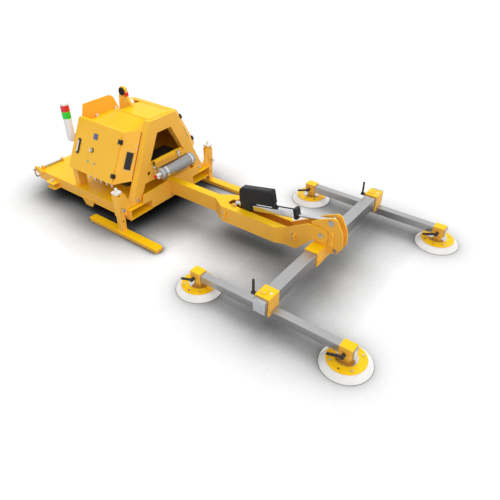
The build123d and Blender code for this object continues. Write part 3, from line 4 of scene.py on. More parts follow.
import bmesh
import bpy
from mathutils import Matrix, Vector


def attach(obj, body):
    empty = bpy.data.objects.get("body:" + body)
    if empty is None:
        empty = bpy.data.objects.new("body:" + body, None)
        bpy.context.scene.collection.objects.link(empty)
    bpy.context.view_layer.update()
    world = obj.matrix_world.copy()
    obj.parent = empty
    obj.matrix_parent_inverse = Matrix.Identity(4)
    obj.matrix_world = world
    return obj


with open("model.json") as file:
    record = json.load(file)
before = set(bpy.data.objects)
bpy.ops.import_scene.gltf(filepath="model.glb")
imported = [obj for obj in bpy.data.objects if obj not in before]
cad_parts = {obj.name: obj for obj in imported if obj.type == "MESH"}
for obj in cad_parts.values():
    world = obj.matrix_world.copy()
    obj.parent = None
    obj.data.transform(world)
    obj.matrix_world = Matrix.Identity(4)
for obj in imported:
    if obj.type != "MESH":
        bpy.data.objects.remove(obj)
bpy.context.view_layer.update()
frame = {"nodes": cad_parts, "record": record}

# Lengths are in metres in the CAD's axes: +X to the suction frame, +Y to the far side, +Z up
nodes = frame["nodes"]
slot_of = {entry["node"]: entry["material_slot"] for entry in frame["record"]["subparts"]}
materials = {}

# Camera, fitted to the photograph
camera_place = (2.27305, -2.68773, 2.30311)
camera_turn = radians(36.49)
camera_drop = radians(36.6)
camera_lens = 35.62
sensor_width = 36.0
camera_reach = 100.0

# Colours, as linear values; paint has its own colour on faces that look up and a paler, duller copy of it
# on the rest, which is painted shade and sheen
paint_colour = (0.99, 0.60, 0.003)
paint_shade = (0.96, 0.56, 0.003)
upright_painted_shade_sheen_colour = (0.99, 0.52, 0.06)
upright_painted_shade_sheen_drift = (0.96, 0.49, 0.055)
# Painted highlights: lighter yellows for the softened edges of painted nodes
top_edge_painted_highlight = (0.99, 0.72, 0.08)
side_edge_painted_highlight = (0.99, 0.66, 0.15)
aluminium_colour = (0.56, 0.56, 0.565)
steel_colour = (0.72, 0.73, 0.76)
tank_colour = (0.40, 0.40, 0.405)
# Painted reflection: a lighter grey for the reservoir's ends
dome_painted_reflection_colour = (0.55, 0.56, 0.58)
# Painted highlight: a near-white for the beams' edges and the bosses' rims
beam_edge_painted_highlight = (0.92, 0.92, 0.93)
black_colour = (0.016, 0.016, 0.018)
rubber_colour = (0.88, 0.87, 0.85)
white_colour = (0.86, 0.86, 0.85)
red_colour = (0.80, 0.006, 0.004)
green_colour = (0.005, 0.70, 0.012)
iron_colour = (0.05, 0.047, 0.043)
slat_colour = (0.055, 0.035, 0.022)
glass_colour = (0.10, 0.12, 0.30)
green_lamp_colour = (0.12, 0.55, 0.40)
grey_lamp_colour = (0.42, 0.44, 0.50)
# Painted shade: a dark orange for the bead in the crease between cabinet and A-frame
seam_painted_shade_colour = (0.50, 0.11, 0.008)
floor_colour = (0.72, 0.72, 0.72)
floor_seen_colour = (0.96, 0.96, 0.96)

# Stretch of a texture by axis: a small share draws its lines out along that axis
even = (1, 1, 1)
drawn_x = (0.02, 1, 1)
drawn_y = (1, 0.02, 1)
drawn_z = (1, 1, 0.05)
tank_drawn = (1, 0.03, 1)
tube_drawn = (0.03, 1, 1)
flute_drawn = (1, 1, 0.02)
across_x = (0, 1, 1)
across_y = (1, 0, 1)

# Textures: scales, shades as shares of a colour, low and high roughness, strength and distance of bumps
noise_detail = 4.0
line_detail = 3.0
grain_detail = 2.0
flute_detail = 1.0
paint_drift = 3.0
paint_gloss = 12.0
paint_rough = (0.34, 0.46)
paint_specular = 0.35
# How far a face must look up to take the top colour instead of the painted shade and sheen
painted_light_facing_range = (0.2, 0.85)
peel_scale = 420.0
peel_bump = (0.12, 0.0006)
line_scale = 160.0
spangle_scale = 60.0
metal_shade = 0.86
metal_bump = (0.08, 0.0004)
profile_shade = 0.88
profile_rough = (0.3, 0.42)
groove_scale = 42.0
# Painted shade in the profile's grooves
groove_painted_shade = 0.72
groove_edge = (0.02, 0.2)
groove_bump = (0.25, 0.001)
mould_drift = 6.0
mould_gloss = 20.0
mould_shade = 0.9
mould_spread = 0.1
mould_distance = 0.0004
lens_drift = 30.0
lens_shade = 0.8
lens_rough = 0.2
lens_coat = 0.5
flute_scale = 90.0
flute_bump = (0.3, 0.001)

# Nodes that take another material than their slot's, the beams whose edges get a painted highlight, and
# the softening of edges
special = {
    "cross_beam": "aluminium_y", "side_beam_near": "aluminium_x", "side_beam_far": "aluminium_x",
    "actuator_body": "polished",
}
beams_with_painted_highlight = ("cross_beam", "side_beam_near", "side_beam_far")
edge_radius = 0.0015
rounding = {"actuator_motor": 0.010, "cross_beam": 0.003, "side_beam_near": 0.003, "side_beam_far": 0.003}
edge_segments = 3
edge_angle = radians(35)
flat_angle = radians(0.5)
trim_segments = 2

# The machine's own axes: back from the suction frame's middle, and across from its middle plane
origin_x = 0.98485
middle_y = -0.08

# Leaning sides of the A-frame and the cabinet: half width at a height, and how fast it narrows
frame_half_low = 0.434
frame_low = 0.208
frame_slope = 0.47488
cabinet_half_low = 0.4825
cabinet_low = 0.385
cabinet_slope = 0.52568
hinge_back = 1.632
strip_back = 1.556
frame_back = 1.496

# Pads and side beams
pad_ahead = -0.5773
pad_out = 0.766
beam_front = 0.630
beam_rear = 0.610
beam_middle = 0.1205
corner_signs = ((-1, -1), (1, -1), (1, 1), (-1, 1))

# Faces of the nodes that get another material, found by where they are
post_top = 0.3715
bolt_low = 0.0473
bolt_high = 0.0545
bolt_ring = 0.09
boss_top = 0.0528
boss_radius = 0.07
boss_rim = 0.006
screw_low = 0.2648
pin_head_x = origin_x + 0.032
pin_head_radius = 0.0085
pin_head_low = 0.2597
stud_end = origin_x - 0.0545
strip_bolt_spots = ((0.822, 0.225), (0.217, 0.240))
strip_bolt_rise = 0.02067
strip_bolt_reach = 0.0071
leaf_out = 0.0146
# Painted reflection: how far across a reservoir face must look to take the lighter grey
painted_reflection_facing = 0.35
panel_facing = -0.8
panel_x = origin_x - 1.919
panel_half = 0.03
panel_low = 0.62
lamp_looks = ((1.951, "lamp_green"), (1.874, "lamp_grey"))
lamp_height = 0.48
lamp_reach = 0.012
vent_rear = 1.62
vent_low = 0.45
vent_high = 0.64
slat_level = 0.2

# Forms of bolts, screws and weld beads, as shares of their radius or height
washer_share = 0.22
washer_reach = 1.45
washer_sides = 24
hex_sides = 6
crown_share = 0.2
crown_reach = 0.82
screw_sides = 12
screw_profile = ((1.0, -0.1), (1.0, 0.12), (0.86, 0.42), (0.55, 0.56), (0.42, 0.56), (0.40, 0.2))
weld_step = 0.004
weld_steps_least = 4
weld_ripple = 0.16
weld_beat = 2.1
weld_end = 0.4
weld_sides = 8

# Places and sizes of the bolts and screws
floor_bolt_backs = (1.655, 1.715, 1.785, 1.855, 1.925)
floor_bolt_across = 0.474
floor_bolt_radius = 0.009
floor_bolt_height = 0.030
foot_bolt_across = 0.372
foot_bolt_level = 0.240
foot_bolt_radius = 0.010
foot_bolt_height = 0.016
guard_bolt_back = 2.170
guard_bolt_spots = ((-0.115, 0.713), (0.090, 0.713))
guard_bolt_radius = 0.010
guard_bolt_height = 0.014
vent_back = 1.588
vent_middle = 0.543
vent_screw_spots = (
    (-0.012, 0.079), (0.012, 0.079), (-0.036, 0.0), (0.036, 0.0), (-0.012, -0.079), (0.012, -0.079),
)
vent_screw_radius = 0.005
seam_screw_heights = (0.451, 0.623, 0.654)
seam_screw_behind = 0.009
seam_screw_out = 0.012
seam_screw_facing = (0.6, 0.7, 0.35)
seam_screw_radius = 0.006
seam_low = 0.392
seam_top = 0.742
seam_radius = 0.005

# Places and sizes of the weld beads
weld_radius = 0.004
fine_weld_radius = 0.003
lug_weld_backs = (1.990, 1.828)
lug_weld_across = 0.011
lug_weld_level = 0.829
leg_back = 1.525
leg_across = 0.542
post_half = 0.025
skid_top = 0.032
neck_half_x = 0.0272
neck_half_y = 0.0222
neck_foot = 0.053
sleeve_weld_half = 0.044
sleeve_weld_across = 0.0385
sleeve_weld_level = 0.259

# Raised plates on the cam plates: outline ahead and up, and rings of inset share and distance out
gusset_outline = (
    (0.068, 0.268), (0.068, 0.300), (0.061, 0.370), (0.082, 0.396), (0.100, 0.366), (0.094, 0.322),
    (0.102, 0.268),
)
gusset_middle_x = 0.082
gusset_middle_z = 0.330
gusset_steps = ((0.0, 0.0375), (0.0, 0.0385), (0.0, 0.047), (0.35, 0.0495), (0.45, 0.045))
gusset_face = 0.0385
gusset_softness = 0.0015

# Plugs of the side beams: half width and depth of each ring
plug_profile = (
    (0.0245, 0.018), (0.0259, 0.018), (0.0259, 0.001), (0.022, 0.001), (0.020, 0.004), (0.006, 0.004),
)
plug_softness = 0.001

# Floor, surround and lamps
floor_half = 30.0
floor_rough = 0.9
shadow_reach = 0.5
shadow_depth = 3.4
shadow_share = 0.6
shadow_samples = 16
ambient_strength = 0.62
seen_strength = 1.0
key_power = 1.15
key_size = 1.2
key_direction = (-0.7, 0.3, -1.0)
back_power = 1.25
back_size = 0.5
back_direction = (0.3, -0.7, -1.0)


def connect(tree, source, socket):
    """Links a source to a socket, or sets a value that is the same all over."""
    if isinstance(source, bpy.types.NodeSocket):
        tree.links.new(source, socket)
    else:
        socket.default_value = source


def shader_tree(name):
    """A new material, kept by its name, with its tree, shader and object-space coordinates."""
    material = bpy.data.materials.new(name)
    material.use_nodes = True
    materials[name] = material
    tree = material.node_tree
    place = tree.nodes.new("ShaderNodeTexCoord")
    return tree, tree.nodes["Principled BSDF"], place.outputs["Object"]


def stretched(tree, place, stretch):
    """Coordinates stretched along the axes."""
    mapping = tree.nodes.new("ShaderNodeMapping")
    mapping.inputs["Scale"].default_value = stretch
    tree.links.new(place, mapping.inputs["Vector"])
    return mapping.outputs["Vector"]


def noise(tree, place, scale, detail=noise_detail, stretch=even):
    """A noise texture, stretched along the axes."""
    vector = stretched(tree, place, stretch)
    texture = tree.nodes.new("ShaderNodeTexNoise")
    texture.inputs["Scale"].default_value = scale
    texture.inputs["Detail"].default_value = detail
    tree.links.new(vector, texture.inputs["Vector"])
    return texture.outputs["Fac"]


def ramp(tree, source, low, high, start=0.35, end=0.65):
    """A colour ramp between two colours, or two greys given as numbers."""
    node = tree.nodes.new("ShaderNodeValToRGB")
    for element, position, value in zip(node.color_ramp.elements, (start, end), (low, high)):
        colour = (value, value, value) if isinstance(value, float) else value
        element.position = position
        element.color = (*colour, 1)
    tree.links.new(source, node.inputs["Fac"])
    return node.outputs["Color"]


def mix(tree, share, first, second, blend="MIX"):
    """A mix of two colours."""
    node = tree.nodes.new("ShaderNodeMixRGB")
    node.blend_type = blend
    connect(tree, share, node.inputs["Fac"])
    connect(tree, first, node.inputs["Color1"])
    connect(tree, second, node.inputs["Color2"])
    return node.outputs["Color"]


def calculate(tree, operation, first, second):
    """The result of a sum on two values."""
    node = tree.nodes.new("ShaderNodeMath")
    node.operation = operation
    connect(tree, first, node.inputs[0])
    connect(tree, second, node.inputs[1])
    return node.outputs["Value"]


def mix_shaders(tree, share, first, second):
    """A mix of two shaders."""
    node = tree.nodes.new("ShaderNodeMixShader")
    tree.links.new(share, node.inputs["Fac"])
    tree.links.new(first, node.inputs[1])
    tree.links.new(second, node.inputs[2])
    return node.outputs[0]


def bump(tree, shader, source, strength, distance):
    """Relief on a shader, from a height."""
    node = tree.nodes.new("ShaderNodeBump")
    node.inputs["Strength"].default_value = strength
    node.inputs["Distance"].default_value = distance
    tree.links.new(source, node.inputs["Height"])
    tree.links.new(node.outputs["Normal"], shader.inputs["Normal"])


def darker(colour, share):
    """A share of a colour."""
    return tuple(share * c for c in colour)


def paint_material(name, top, side):
    """Sprayed paint: a faint drift of colour and orange peel, with painted light by facing: faces that
    look up take the saturated top colours, upright faces the paler, duller side colours as painted shade
    and sheen.
    """
    tree, shader, place = shader_tree(name)
    drift = noise(tree, place, paint_drift)
    # Painted light by facing: upright faces take the side colours, a painted shade and sheen
    facing = tree.nodes.new("ShaderNodeSeparateXYZ")
    normals = tree.nodes.new("ShaderNodeTexCoord")
    tree.links.new(normals.outputs["Normal"], facing.inputs["Vector"])
    level = ramp(tree, facing.outputs["Z"], 0.0, 1.0, *painted_light_facing_range)
    colour = mix(tree, level, ramp(tree, drift, side[1], side[0]), ramp(tree, drift, top[1], top[0]))
    tree.links.new(colour, shader.inputs["Base Color"])
    tree.links.new(ramp(tree, noise(tree, place, paint_gloss), *paint_rough), shader.inputs["Roughness"])
    shader.inputs["Specular IOR Level"].default_value = paint_specular
    bump(tree, shader, noise(tree, place, peel_scale, grain_detail), *peel_bump)


def metal_material(name, colour, rough_low, rough_high, stretch, scale=line_scale):
    """Metal with fine drawn lines along one axis, or spangles where the stretch is even."""
    tree, shader, place = shader_tree(name)
    lines = noise(tree, place, scale, line_detail, stretch)
    tree.links.new(ramp(tree, lines, darker(colour, metal_shade), colour), shader.inputs["Base Color"])
    tree.links.new(ramp(tree, lines, rough_low, rough_high), shader.inputs["Roughness"])
    shader.inputs["Metallic"].default_value = 1.0
    bump(tree, shader, lines, *metal_bump)


def profile_material(name, colour, stretch, across):
    """Extruded aluminium: fine drawn lines, and the shallow grooves of the profile with painted shade in
    them.
    """
    tree, shader, place = shader_tree(name)
    lines = noise(tree, place, line_scale, line_detail, stretch)
    vector = stretched(tree, place, across)
    grooves = tree.nodes.new("ShaderNodeTexWave")
    grooves.bands_direction = "DIAGONAL"
    grooves.inputs["Scale"].default_value = groove_scale
    tree.links.new(vector, grooves.inputs["Vector"])
    depth = grooves.outputs["Fac"]
    tone = mix(
        tree, 1.0, ramp(tree, lines, darker(colour, profile_shade), colour),
        ramp(tree, depth, groove_painted_shade, 1.0, *groove_edge), "MULTIPLY",
    )
    tree.links.new(tone, shader.inputs["Base Color"])
    tree.links.new(ramp(tree, lines, *profile_rough), shader.inputs["Roughness"])
    shader.inputs["Metallic"].default_value = 1.0
    bump(tree, shader, depth, *groove_bump)


def moulded_material(name, colour, rough, grain=600.0, strength=0.15, specular=0.5):
    """Moulded plastic or rubber with a fine grain."""
    tree, shader, place = shader_tree(name)
    shader.inputs["Specular IOR Level"].default_value = specular
    drift = ramp(tree, noise(tree, place, mould_drift), darker(colour, mould_shade), colour)
    tree.links.new(drift, shader.inputs["Base Color"])
    gloss = ramp(tree, noise(tree, place, mould_gloss), rough, rough + mould_spread)
    tree.links.new(gloss, shader.inputs["Roughness"])
    bump(tree, shader, noise(tree, place, grain, grain_detail), strength, mould_distance)


def lens_material(name, colour):
    """Coloured lens plastic with vertical flutes."""
    tree, shader, place = shader_tree(name)
    drift = ramp(tree, noise(tree, place, lens_drift), darker(colour, lens_shade), colour)
    tree.links.new(drift, shader.inputs["Base Color"])
    shader.inputs["Roughness"].default_value = lens_rough
    shader.inputs["Coat Weight"].default_value = lens_coat
    bump(tree, shader, noise(tree, place, flute_scale, flute_detail, flute_drawn), *flute_bump)


def make_materials():
    """Every material of the part, kept by name."""
    paint_material("yellow_paint", (paint_colour, paint_shade), (upright_painted_shade_sheen_colour, upright_painted_shade_sheen_drift))
    # Painted highlight: a lighter yellow on the softened edges of painted nodes
    paint_material("edge_painted_highlight_yellow", (top_edge_painted_highlight, top_edge_painted_highlight), (side_edge_painted_highlight, side_edge_painted_highlight))
    profile_material("aluminium_x", aluminium_colour, drawn_x, across_x)
    profile_material("aluminium_y", aluminium_colour, drawn_y, across_y)
    metal_material("galvanised", steel_colour, 0.3, 0.5, even, spangle_scale)
    metal_material("bright_steel", steel_colour, 0.12, 0.22, drawn_z)
    metal_material("grey_paint", tank_colour, 0.3, 0.42, tank_drawn)
    moulded_material("black_paint", black_colour, 0.35, specular=0.25)
    # Painted reflection: a lighter grey on the reservoir's domed ends
    metal_material("painted_reflection_dome", dome_painted_reflection_colour, 0.4, 0.5, even, spangle_scale)
    metal_material("polished", steel_colour, 0.06, 0.12, tube_drawn)
    # Painted highlight: a near-white metal on the beams' softened edges and the bosses' rims
    metal_material("edge_painted_highlight_grey", beam_edge_painted_highlight, 0.25, 0.35, drawn_x)
    moulded_material("vent_slats", slat_colour, 0.5)
    moulded_material("panel_glass", glass_colour, 0.12, strength=0.02)
    moulded_material("lamp_green", green_lamp_colour, 0.2)
    moulded_material("lamp_grey", grey_lamp_colour, 0.25)
    # Painted shade: a dark orange for the bead in the seam between cabinet and A-frame
    moulded_material("seam_painted_shade", seam_painted_shade_colour, 0.5, grain=300.0)
    moulded_material("black_plastic", black_colour, 0.45)
    moulded_material("white_rubber", rubber_colour, 0.5)
    moulded_material("white_plastic", white_colour, 0.3)
    lens_material("red_lens", red_colour)
    lens_material("green_lens", green_colour)
    moulded_material("red_plastic", red_colour, 0.3)
    moulded_material("cast_ballast", iron_colour, 0.6, grain=200.0, strength=0.4)


def spot(back, across, height):
    """A point on the machine in the CAD's axes."""
    return Vector((origin_x - back, middle_y + across, height))


def frame_edge(height):
    """Half the A-frame's width at a height."""
    return frame_half_low - frame_slope * (height - frame_low)


def cabinet_edge(height):
    """Half the cabinet's width at a height."""
    return cabinet_half_low - cabinet_slope * (height - cabinet_low)


def near(centre, back, height, reach):
    """Whether a face's middle is within reach of a cross-wise axis of the machine."""
    return hypot(centre.x - (origin_x - back), centre.z - height) < reach


def dress(obj, material, width):
    """Gives an object its material and softens its sharp edges."""
    obj.data.materials.clear()
    obj.data.materials.append(material)
    for polygon in obj.data.polygons:
        polygon.material_index = 0
    flat = obj.modifiers.new("flat", "DECIMATE")
    flat.decimate_type = "DISSOLVE"
    flat.angle_limit = flat_angle
    edge = obj.modifiers.new("edge", "BEVEL")
    edge.width = width
    edge.segments = edge_segments
    edge.limit_method = "ANGLE"
    edge.angle_limit = edge_angle
    edge.harden_normals = True


def dress_nodes():
    """Every node's material and, on paint and beams, a lighter one on the softened edges as a painted
    highlight.
    """
    for name, obj in nodes.items():
        key = special.get(name, slot_of[name])
        if key == "aluminium":
            key = "galvanised"
        dress(obj, materials[key], rounding.get(name, edge_radius))
        if key == "yellow_paint":
            put_edge_painted_highlight(obj, "edge_painted_highlight_yellow")
        if name in beams_with_painted_highlight:
            put_edge_painted_highlight(obj, "edge_painted_highlight_grey")


def put_edge_painted_highlight(obj, material):
    """Puts a second, lighter material on an object's softened edges: a painted highlight."""
    obj.data.materials.append(materials[material])
    obj.modifiers["edge"].material = 1


def accent(node, material, test):
    """Gives the faces of a node that pass a test, by their middle c and normal n, another material."""
    mesh = nodes[node].data
    mesh.materials.append(materials[material])
    index = len(mesh.materials) - 1
    for polygon in mesh.polygons:
        if test(polygon.center, polygon.normal):
            polygon.material_index = index


def dress_pads():
    """Steel on the pad holders' bolts, and a painted highlight on the rims of their bosses.

    Known fault, kept because it is part of the look: the rear pads are measured from the front pads'
    axis and the other way round. So steel takes every face in the bolts' band, and the rim takes none.
    """
    for end, x in (("rear", origin_x - pad_ahead), ("front", origin_x + pad_ahead)):
        for side, y in (("near", -pad_out), ("far", pad_out)):
            holder = f"pad_holder_{side}_{end}"
            accent(holder, "bright_steel", lambda c, n: (
                bolt_low < c.z < bolt_high and hypot(c.x - x, c.y - y) > bolt_ring
            ))
            # Painted highlight on the bosses' rims
            accent(holder, "edge_painted_highlight_grey", lambda c, n: (
                bolt_low < c.z < boss_top and abs(hypot(c.x - x, c.y - y) - boss_radius) < boss_rim
                and abs(n.z) < boss_rim
            ))


def dress_details():
    """The caps, bolt heads, pins, lamps and ends that differ from their node; the reservoir's ends get a
    painted reflection and the bosses' rims a painted highlight.
    """
    for leg in ("near_leg", "far_leg"):
        accent(leg, "white_plastic", lambda c, n: c.z > post_top)
    dress_pads()
    for side, y in (("near", -pad_out), ("far", pad_out)):
        node = "carriage_" + side
        accent(node, "bright_steel", lambda c, n: c.z > screw_low)
        accent(node, "white_plastic", lambda c, n: (
            hypot(c.x - pin_head_x, c.y - y) < pin_head_radius and c.z > pin_head_low
        ))
        accent(node, "bright_steel", lambda c, n: c.x < stud_end)
    for back, height in strip_bolt_spots:
        accent("boom", "bright_steel", lambda c, n: (
            near(c, back, height - strip_bolt_rise, strip_bolt_reach)
            or near(c, back, height + strip_bolt_rise, strip_bolt_reach)
        ))
    for door, way in (("near_door", -1), ("far_door", 1)):
        accent(door, "black_plastic", lambda c, n: way * (c.y - middle_y) - cabinet_edge(c.z) > leaf_out)
    # Painted reflection: the reservoir's faces that look across are lighter
    accent("reservoir", "painted_reflection_dome", lambda c, n: abs(n.y) > painted_reflection_facing)
    accent("near_door_fittings", "panel_glass", lambda c, n: (
        n.y < panel_facing and abs(c.x - panel_x) < panel_half and c.z > panel_low
    ))
    for back, look in lamp_looks:
        accent("near_door_fittings", look, lambda c, n: near(c, back, lamp_height, lamp_reach))
    accent("cabinet_fittings", "vent_slats", lambda c, n: (
        c.x > origin_x - vent_rear and vent_low < c.z < vent_high and abs(n.z) < slat_level
    ))


def piece(name, mesh_data, body, material):
    """A finished piece from a bmesh, with one material, riding on a body."""
    bmesh.ops.recalc_face_normals(mesh_data, faces=mesh_data.faces)
    mesh = bpy.data.meshes.new(name)
    mesh_data.to_mesh(mesh)
    mesh_data.free()
    mesh.materials.append(materials[material])
    obj = bpy.data.objects.new(name, mesh)
    bpy.context.scene.collection.objects.link(obj)
    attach(obj, body)
    return obj


def soften(obj, width):
    """Softens all edges of a piece of trim."""
    edge = obj.modifiers.new("edge", "BEVEL")
    edge.width = width
    edge.segments = trim_segments


def facing_matrix(centre, normal):
    """The turn and move that put a form's own Z on a normal at a point."""
    return Matrix.Translation(centre) @ Vector(normal).to_track_quat("Z", "Y").to_matrix().to_4x4()


def join_rings(target, rings):
    """Walls between rings of points that follow each other, and a face over each end."""
    for first, second in zip(rings, rings[1:]):
        count = len(first)
        for step in range(count):
            after = (step + 1) % count
            target.faces.new((first[step], first[after], second[after], second[step]))
    target.faces.new(rings[0])
    target.faces.new(rings[-1])


def add_bolt(target, centre, normal, radius, height):
    """A hex head with a chamfered crown, on a washer."""
    turn = facing_matrix(centre, normal)
    washer = washer_share * radius
    crown = crown_share * height
    stack = (
        (washer_sides, washer_reach * radius, washer_reach * radius, washer, washer / 2),
        (hex_sides, radius, radius, height - crown, washer + (height - crown) / 2),
        (hex_sides, radius, crown_reach * radius, crown, washer + height - crown / 2),
    )
    for sides, low, high, depth, middle in stack:
        bmesh.ops.create_cone(
            target, cap_ends=True, segments=sides, radius1=low, radius2=high, depth=depth,
            matrix=turn @ Matrix.Translation((0, 0, middle)),
        )


def add_screw(target, centre, normal, radius):
    """A button-head screw: a low dome with a socket."""
    turn = facing_matrix(centre, normal)
    rings = []
    for reach, rise in screw_profile:
        rings.append([
            target.verts.new(turn @ Vector((
                reach * radius * cos(2 * pi * step / screw_sides),
                reach * radius * sin(2 * pi * step / screw_sides), rise * radius,
            ))) for step in range(screw_sides)
        ])
    join_rings(target, rings)


def add_weld(target, start, end, radius):
    """A run of weld: a bead of close ripples that dies out at both ends."""
    run = end - start
    turn = run.to_track_quat("Z", "Y").to_matrix()
    steps = max(int(run.length / weld_step), weld_steps_least)
    rings = []
    for step in range(steps + 1):
        swell = radius * (1 + weld_ripple * sin(weld_beat * step))
        if step in (0, steps):
            swell *= weld_end
        middle = start + run * (step / steps)
        rings.append([
            target.verts.new(middle + turn @ Vector((swell * cos(angle), swell * sin(angle), 0)))
            for angle in (2 * pi * side / weld_sides for side in range(weld_sides))
        ])
    join_rings(target, rings)


def weld_round(target, corners, radius):
    """Weld along a closed line of corners."""
    for first, second in zip(corners, corners[1:] + corners[:1]):
        add_weld(target, first, second, radius)


def bolts():
    """Hex bolts under the cabinet, on the A-frame's feet and on the guard's foot, those on the guard
    white as a painted highlight.
    """
    steel = bmesh.new()
    for back in floor_bolt_backs:
        for side in (-1, 1):
            centre = spot(back, side * floor_bolt_across, cabinet_low)
            add_bolt(steel, centre, (0, 0, -1), floor_bolt_radius, floor_bolt_height)
    for side in (-1, 1):
        centre = spot(frame_back, side * foot_bolt_across, foot_bolt_level)
        add_bolt(steel, centre, (1, 0, 0), foot_bolt_radius, foot_bolt_height)
    piece("base_bolts", steel, "machine", "bright_steel")
    # The guard's bolts are white: a painted highlight at the guard's foot
    guard = bmesh.new()
    for across, height in guard_bolt_spots:
        centre = spot(guard_bolt_back, across, height)
        add_bolt(guard, centre, (0, 0, 1), guard_bolt_radius, guard_bolt_height)
    piece("guard_painted_highlight_bolts", guard, "machine", "white_plastic")


def vent_plane():
    """Where the vent's middle is across, and the turn onto the plane between cabinet and A-frame."""
    travel = (hinge_back - vent_back) / (hinge_back - strip_back)
    wide = cabinet_edge(vent_middle)
    across = wide + travel * (frame_edge(vent_middle) - wide)
    bend = atan2(wide - frame_edge(vent_middle), hinge_back - strip_back)
    mean = (cabinet_slope + frame_slope) / 2
    lean = atan2(mean * cos(bend), 1)
    slant = atan2(mean * sin(bend), 1)
    turn = Matrix.Rotation(-bend, 4, "Z") @ Matrix.Rotation(lean, 4, "X") @ Matrix.Rotation(slant, 4, "Y")
    return across, turn


def cabinet_trim():
    """Screws round the vents and along the cabinet's seam, and a dark orange bead in the seam as painted
    shade in the crease.
    """
    screws = bmesh.new()
    seam_bead = bmesh.new()
    across, turn = vent_plane()
    outward = turn.to_3x3() @ Vector((0, 1, 0))
    out_x, out_y, out_z = seam_screw_facing
    for side in (-1, 1):
        for along, up in vent_screw_spots:
            local = turn @ Vector((along, 0, up))
            centre = spot(vent_back, side * (across + local.y), vent_middle + local.z)
            centre.x += local.x
            add_screw(screws, centre, (outward.x, side * outward.y, outward.z), vent_screw_radius)
        for height in seam_screw_heights:
            centre = spot(
                strip_back + seam_screw_behind, side * (frame_edge(height) + seam_screw_out), height,
            )
            add_screw(screws, centre, (out_x, side * out_y, out_z), seam_screw_radius)
        # A dark orange bead in the seam: painted shade in the crease between cabinet and A-frame
        low, top = (spot(strip_back, side * frame_edge(level), level) for level in (seam_low, seam_top))
        add_weld(seam_bead, low, top, seam_radius)
    piece("cabinet_screws", screws, "machine", "bright_steel")
    piece("cabinet_seam_painted_shade", seam_bead, "machine", "seam_painted_shade")


def welds():
    """Weld beads at the lug, the posts' feet, the pad plates' necks and the head's sleeve."""
    beads = bmesh.new()
    for side in (-1, 1):
        start, end = (spot(back, side * lug_weld_across, lug_weld_level) for back in lug_weld_backs)
        add_weld(beads, start, end, weld_radius)
    piece("lug_welds", beads, "machine", "yellow_paint")
    for body, side in (("near_leg", -1), ("far_leg", 1)):
        beads = bmesh.new()
        weld_round(beads, [
            spot(leg_back + dx * post_half, side * leg_across + dy * post_half, skid_top)
            for dx, dy in corner_signs
        ], weld_radius)
        piece(body + "_welds", beads, body, "yellow_paint")
    for end, x in (("rear", origin_x + pad_ahead), ("front", origin_x - pad_ahead)):
        for side, y in (("near", -pad_out), ("far", pad_out)):
            beads = bmesh.new()
            weld_round(beads, [
                Vector((x + dx * neck_half_x, y + dy * neck_half_y, neck_foot)) for dx, dy in corner_signs
            ], fine_weld_radius)
            body = f"pad_{side}_{end}"
            piece(body + "_welds", beads, body, "yellow_paint")
    beads = bmesh.new()
    for side in (-1, 1):
        start, end = (
            spot(back, side * sleeve_weld_across, sleeve_weld_level)
            for back in (sleeve_weld_half, -sleeve_weld_half)
        )
        add_weld(beads, start, end, weld_radius)
    piece("head_welds", beads, "head", "yellow_paint")


def head_gussets():
    """Raised plates welded on the outer faces of the cam plates."""
    for side, way in (("near", -1), ("far", 1)):
        plate = bmesh.new()
        rings = []
        for inset, out in gusset_steps:
            rings.append([
                plate.verts.new(spot(
                    -(x + inset * (gusset_middle_x - x)), way * out, z + inset * (gusset_middle_z - z),
                )) for x, z in gusset_outline
            ])
        join_rings(plate, rings)
        soften(piece(f"head_gusset_{side}", plate, "head", "yellow_paint"), gusset_softness)
        rim = bmesh.new()
        weld_round(rim, [spot(-x, way * gusset_face, z) for x, z in gusset_outline], fine_weld_radius)
        piece(f"head_gusset_weld_{side}", rim, "head", "yellow_paint")


def beam_plugs():
    """Ribbed plastic plugs in the open ends of the side beams."""
    for side, y in (("near", -pad_out), ("far", pad_out)):
        plugs = bmesh.new()
        for x, way in ((origin_x + beam_front, 1), (origin_x - beam_rear, -1)):
            rings = []
            for reach, depth in plug_profile:
                rings.append([
                    plugs.verts.new((x - way * depth, y + dy * reach, beam_middle + dz * reach))
                    for dy, dz in corner_signs
                ])
            join_rings(plugs, rings)
        plug = piece(f"beam_plugs_{side}", plugs, "carriage_" + side, "white_plastic")
        soften(plug, plug_softness)


def floor_material():
    """A pale floor that reads white to the camera, with a painted shadow: its colour is darkened by
    occlusion, and for camera rays part of it is a glow of that darkened grey.
    """
    tree, shader, _ = shader_tree("floor")
    camera_ray = tree.nodes.new("ShaderNodeLightPath").outputs["Is Camera Ray"]
    tint = mix(tree, camera_ray, (*floor_colour, 1), (*floor_seen_colour, 1))
    around = tree.nodes.new("ShaderNodeAmbientOcclusion")
    around.inputs["Distance"].default_value = shadow_reach
    around.samples = shadow_samples
    # Painted shadow: the floor's colour darkened by a power of its occlusion
    shadow = calculate(tree, "POWER", around.outputs["AO"], shadow_depth)
    tree.links.new(mix(tree, 1.0, tint, shadow, "MULTIPLY"), shader.inputs["Base Color"])
    shader.inputs["Roughness"].default_value = floor_rough
    shader.inputs["Specular IOR Level"].default_value = 0.0
    painted_shadow_glow = tree.nodes.new("ShaderNodeEmission")
    tree.links.new(shadow, painted_shadow_glow.inputs["Color"])
    share = calculate(tree, "MULTIPLY", camera_ray, shadow_share)
    surface = mix_shaders(tree, share, shader.outputs[0], painted_shadow_glow.outputs[0])
    tree.links.new(surface, tree.nodes["Material Output"].inputs["Surface"])


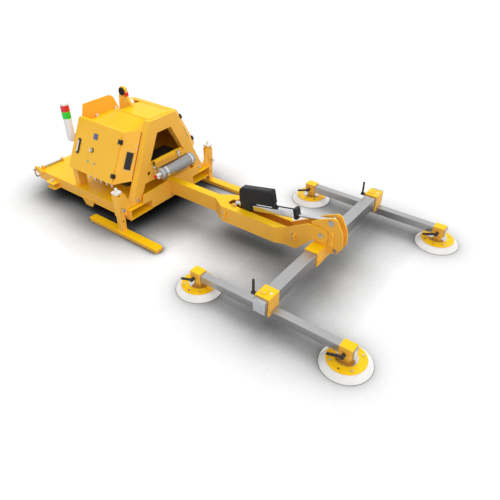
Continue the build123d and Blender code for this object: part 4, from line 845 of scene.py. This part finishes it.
def floor():
    """The floor that the part stands on."""
    half = floor_half
    mesh = bpy.data.meshes.new("floor")
    mesh.from_pydata([(dx * half, dy * half, 0) for dx, dy in corner_signs], [], [(0, 1, 2, 3)])
    obj = bpy.data.objects.new("floor", mesh)
    bpy.context.scene.collection.objects.link(obj)
    floor_material()
    mesh.materials.append(materials["floor"])


def surround():
    """A surround that is white to the camera and in reflections, and lights the part more softly."""
    world = bpy.data.worlds.new("surround")
    bpy.context.scene.world = world
    world.use_nodes = True
    tree = world.node_tree
    tree.nodes.clear()
    path = tree.nodes.new("ShaderNodeLightPath").outputs
    seen = calculate(tree, "MAXIMUM", path["Is Camera Ray"], path["Is Glossy Ray"])
    seen = calculate(tree, "MAXIMUM", seen, path["Is Transmission Ray"])
    lights = []
    for strength in (ambient_strength, seen_strength):
        light = tree.nodes.new("ShaderNodeBackground")
        light.inputs["Color"].default_value = (1, 1, 1, 1)
        light.inputs["Strength"].default_value = strength
        lights.append(light.outputs[0])
    out = tree.nodes.new("ShaderNodeOutputWorld")
    tree.links.new(mix_shaders(tree, seen, *lights), out.inputs["Surface"])


def lamp(name, direction, strength, angle):
    """A distant lamp that shines along a direction and isn't reflected."""
    data = bpy.data.lights.new(name, "SUN")
    data.energy = strength
    data.angle = angle
    obj = bpy.data.objects.new(name, data)
    obj.rotation_euler = Vector(direction).to_track_quat("-Z", "Y").to_euler()
    obj.visible_glossy = False
    bpy.context.scene.collection.objects.link(obj)


def camera():
    """The photograph's camera."""
    data = bpy.data.cameras.new("camera")
    data.lens = camera_lens
    data.sensor_width = sensor_width
    data.clip_end = camera_reach
    obj = bpy.data.objects.new("camera", data)
    forward = Vector((
        -sin(camera_turn) * cos(camera_drop), cos(camera_turn) * cos(camera_drop), -sin(camera_drop),
    ))
    obj.rotation_euler = forward.to_track_quat("-Z", "Y").to_euler()
    obj.location = camera_place
    bpy.context.scene.collection.objects.link(obj)
    bpy.context.scene.camera = obj


make_materials()
dress_nodes()
dress_details()
bolts()
cabinet_trim()
welds()
head_gussets()
beam_plugs()
floor()
surround()
lamp("key", key_direction, key_power, key_size)
lamp("back", back_direction, back_power, back_size)
camera()
bpy.context.scene.view_settings.view_transform = "Standard"
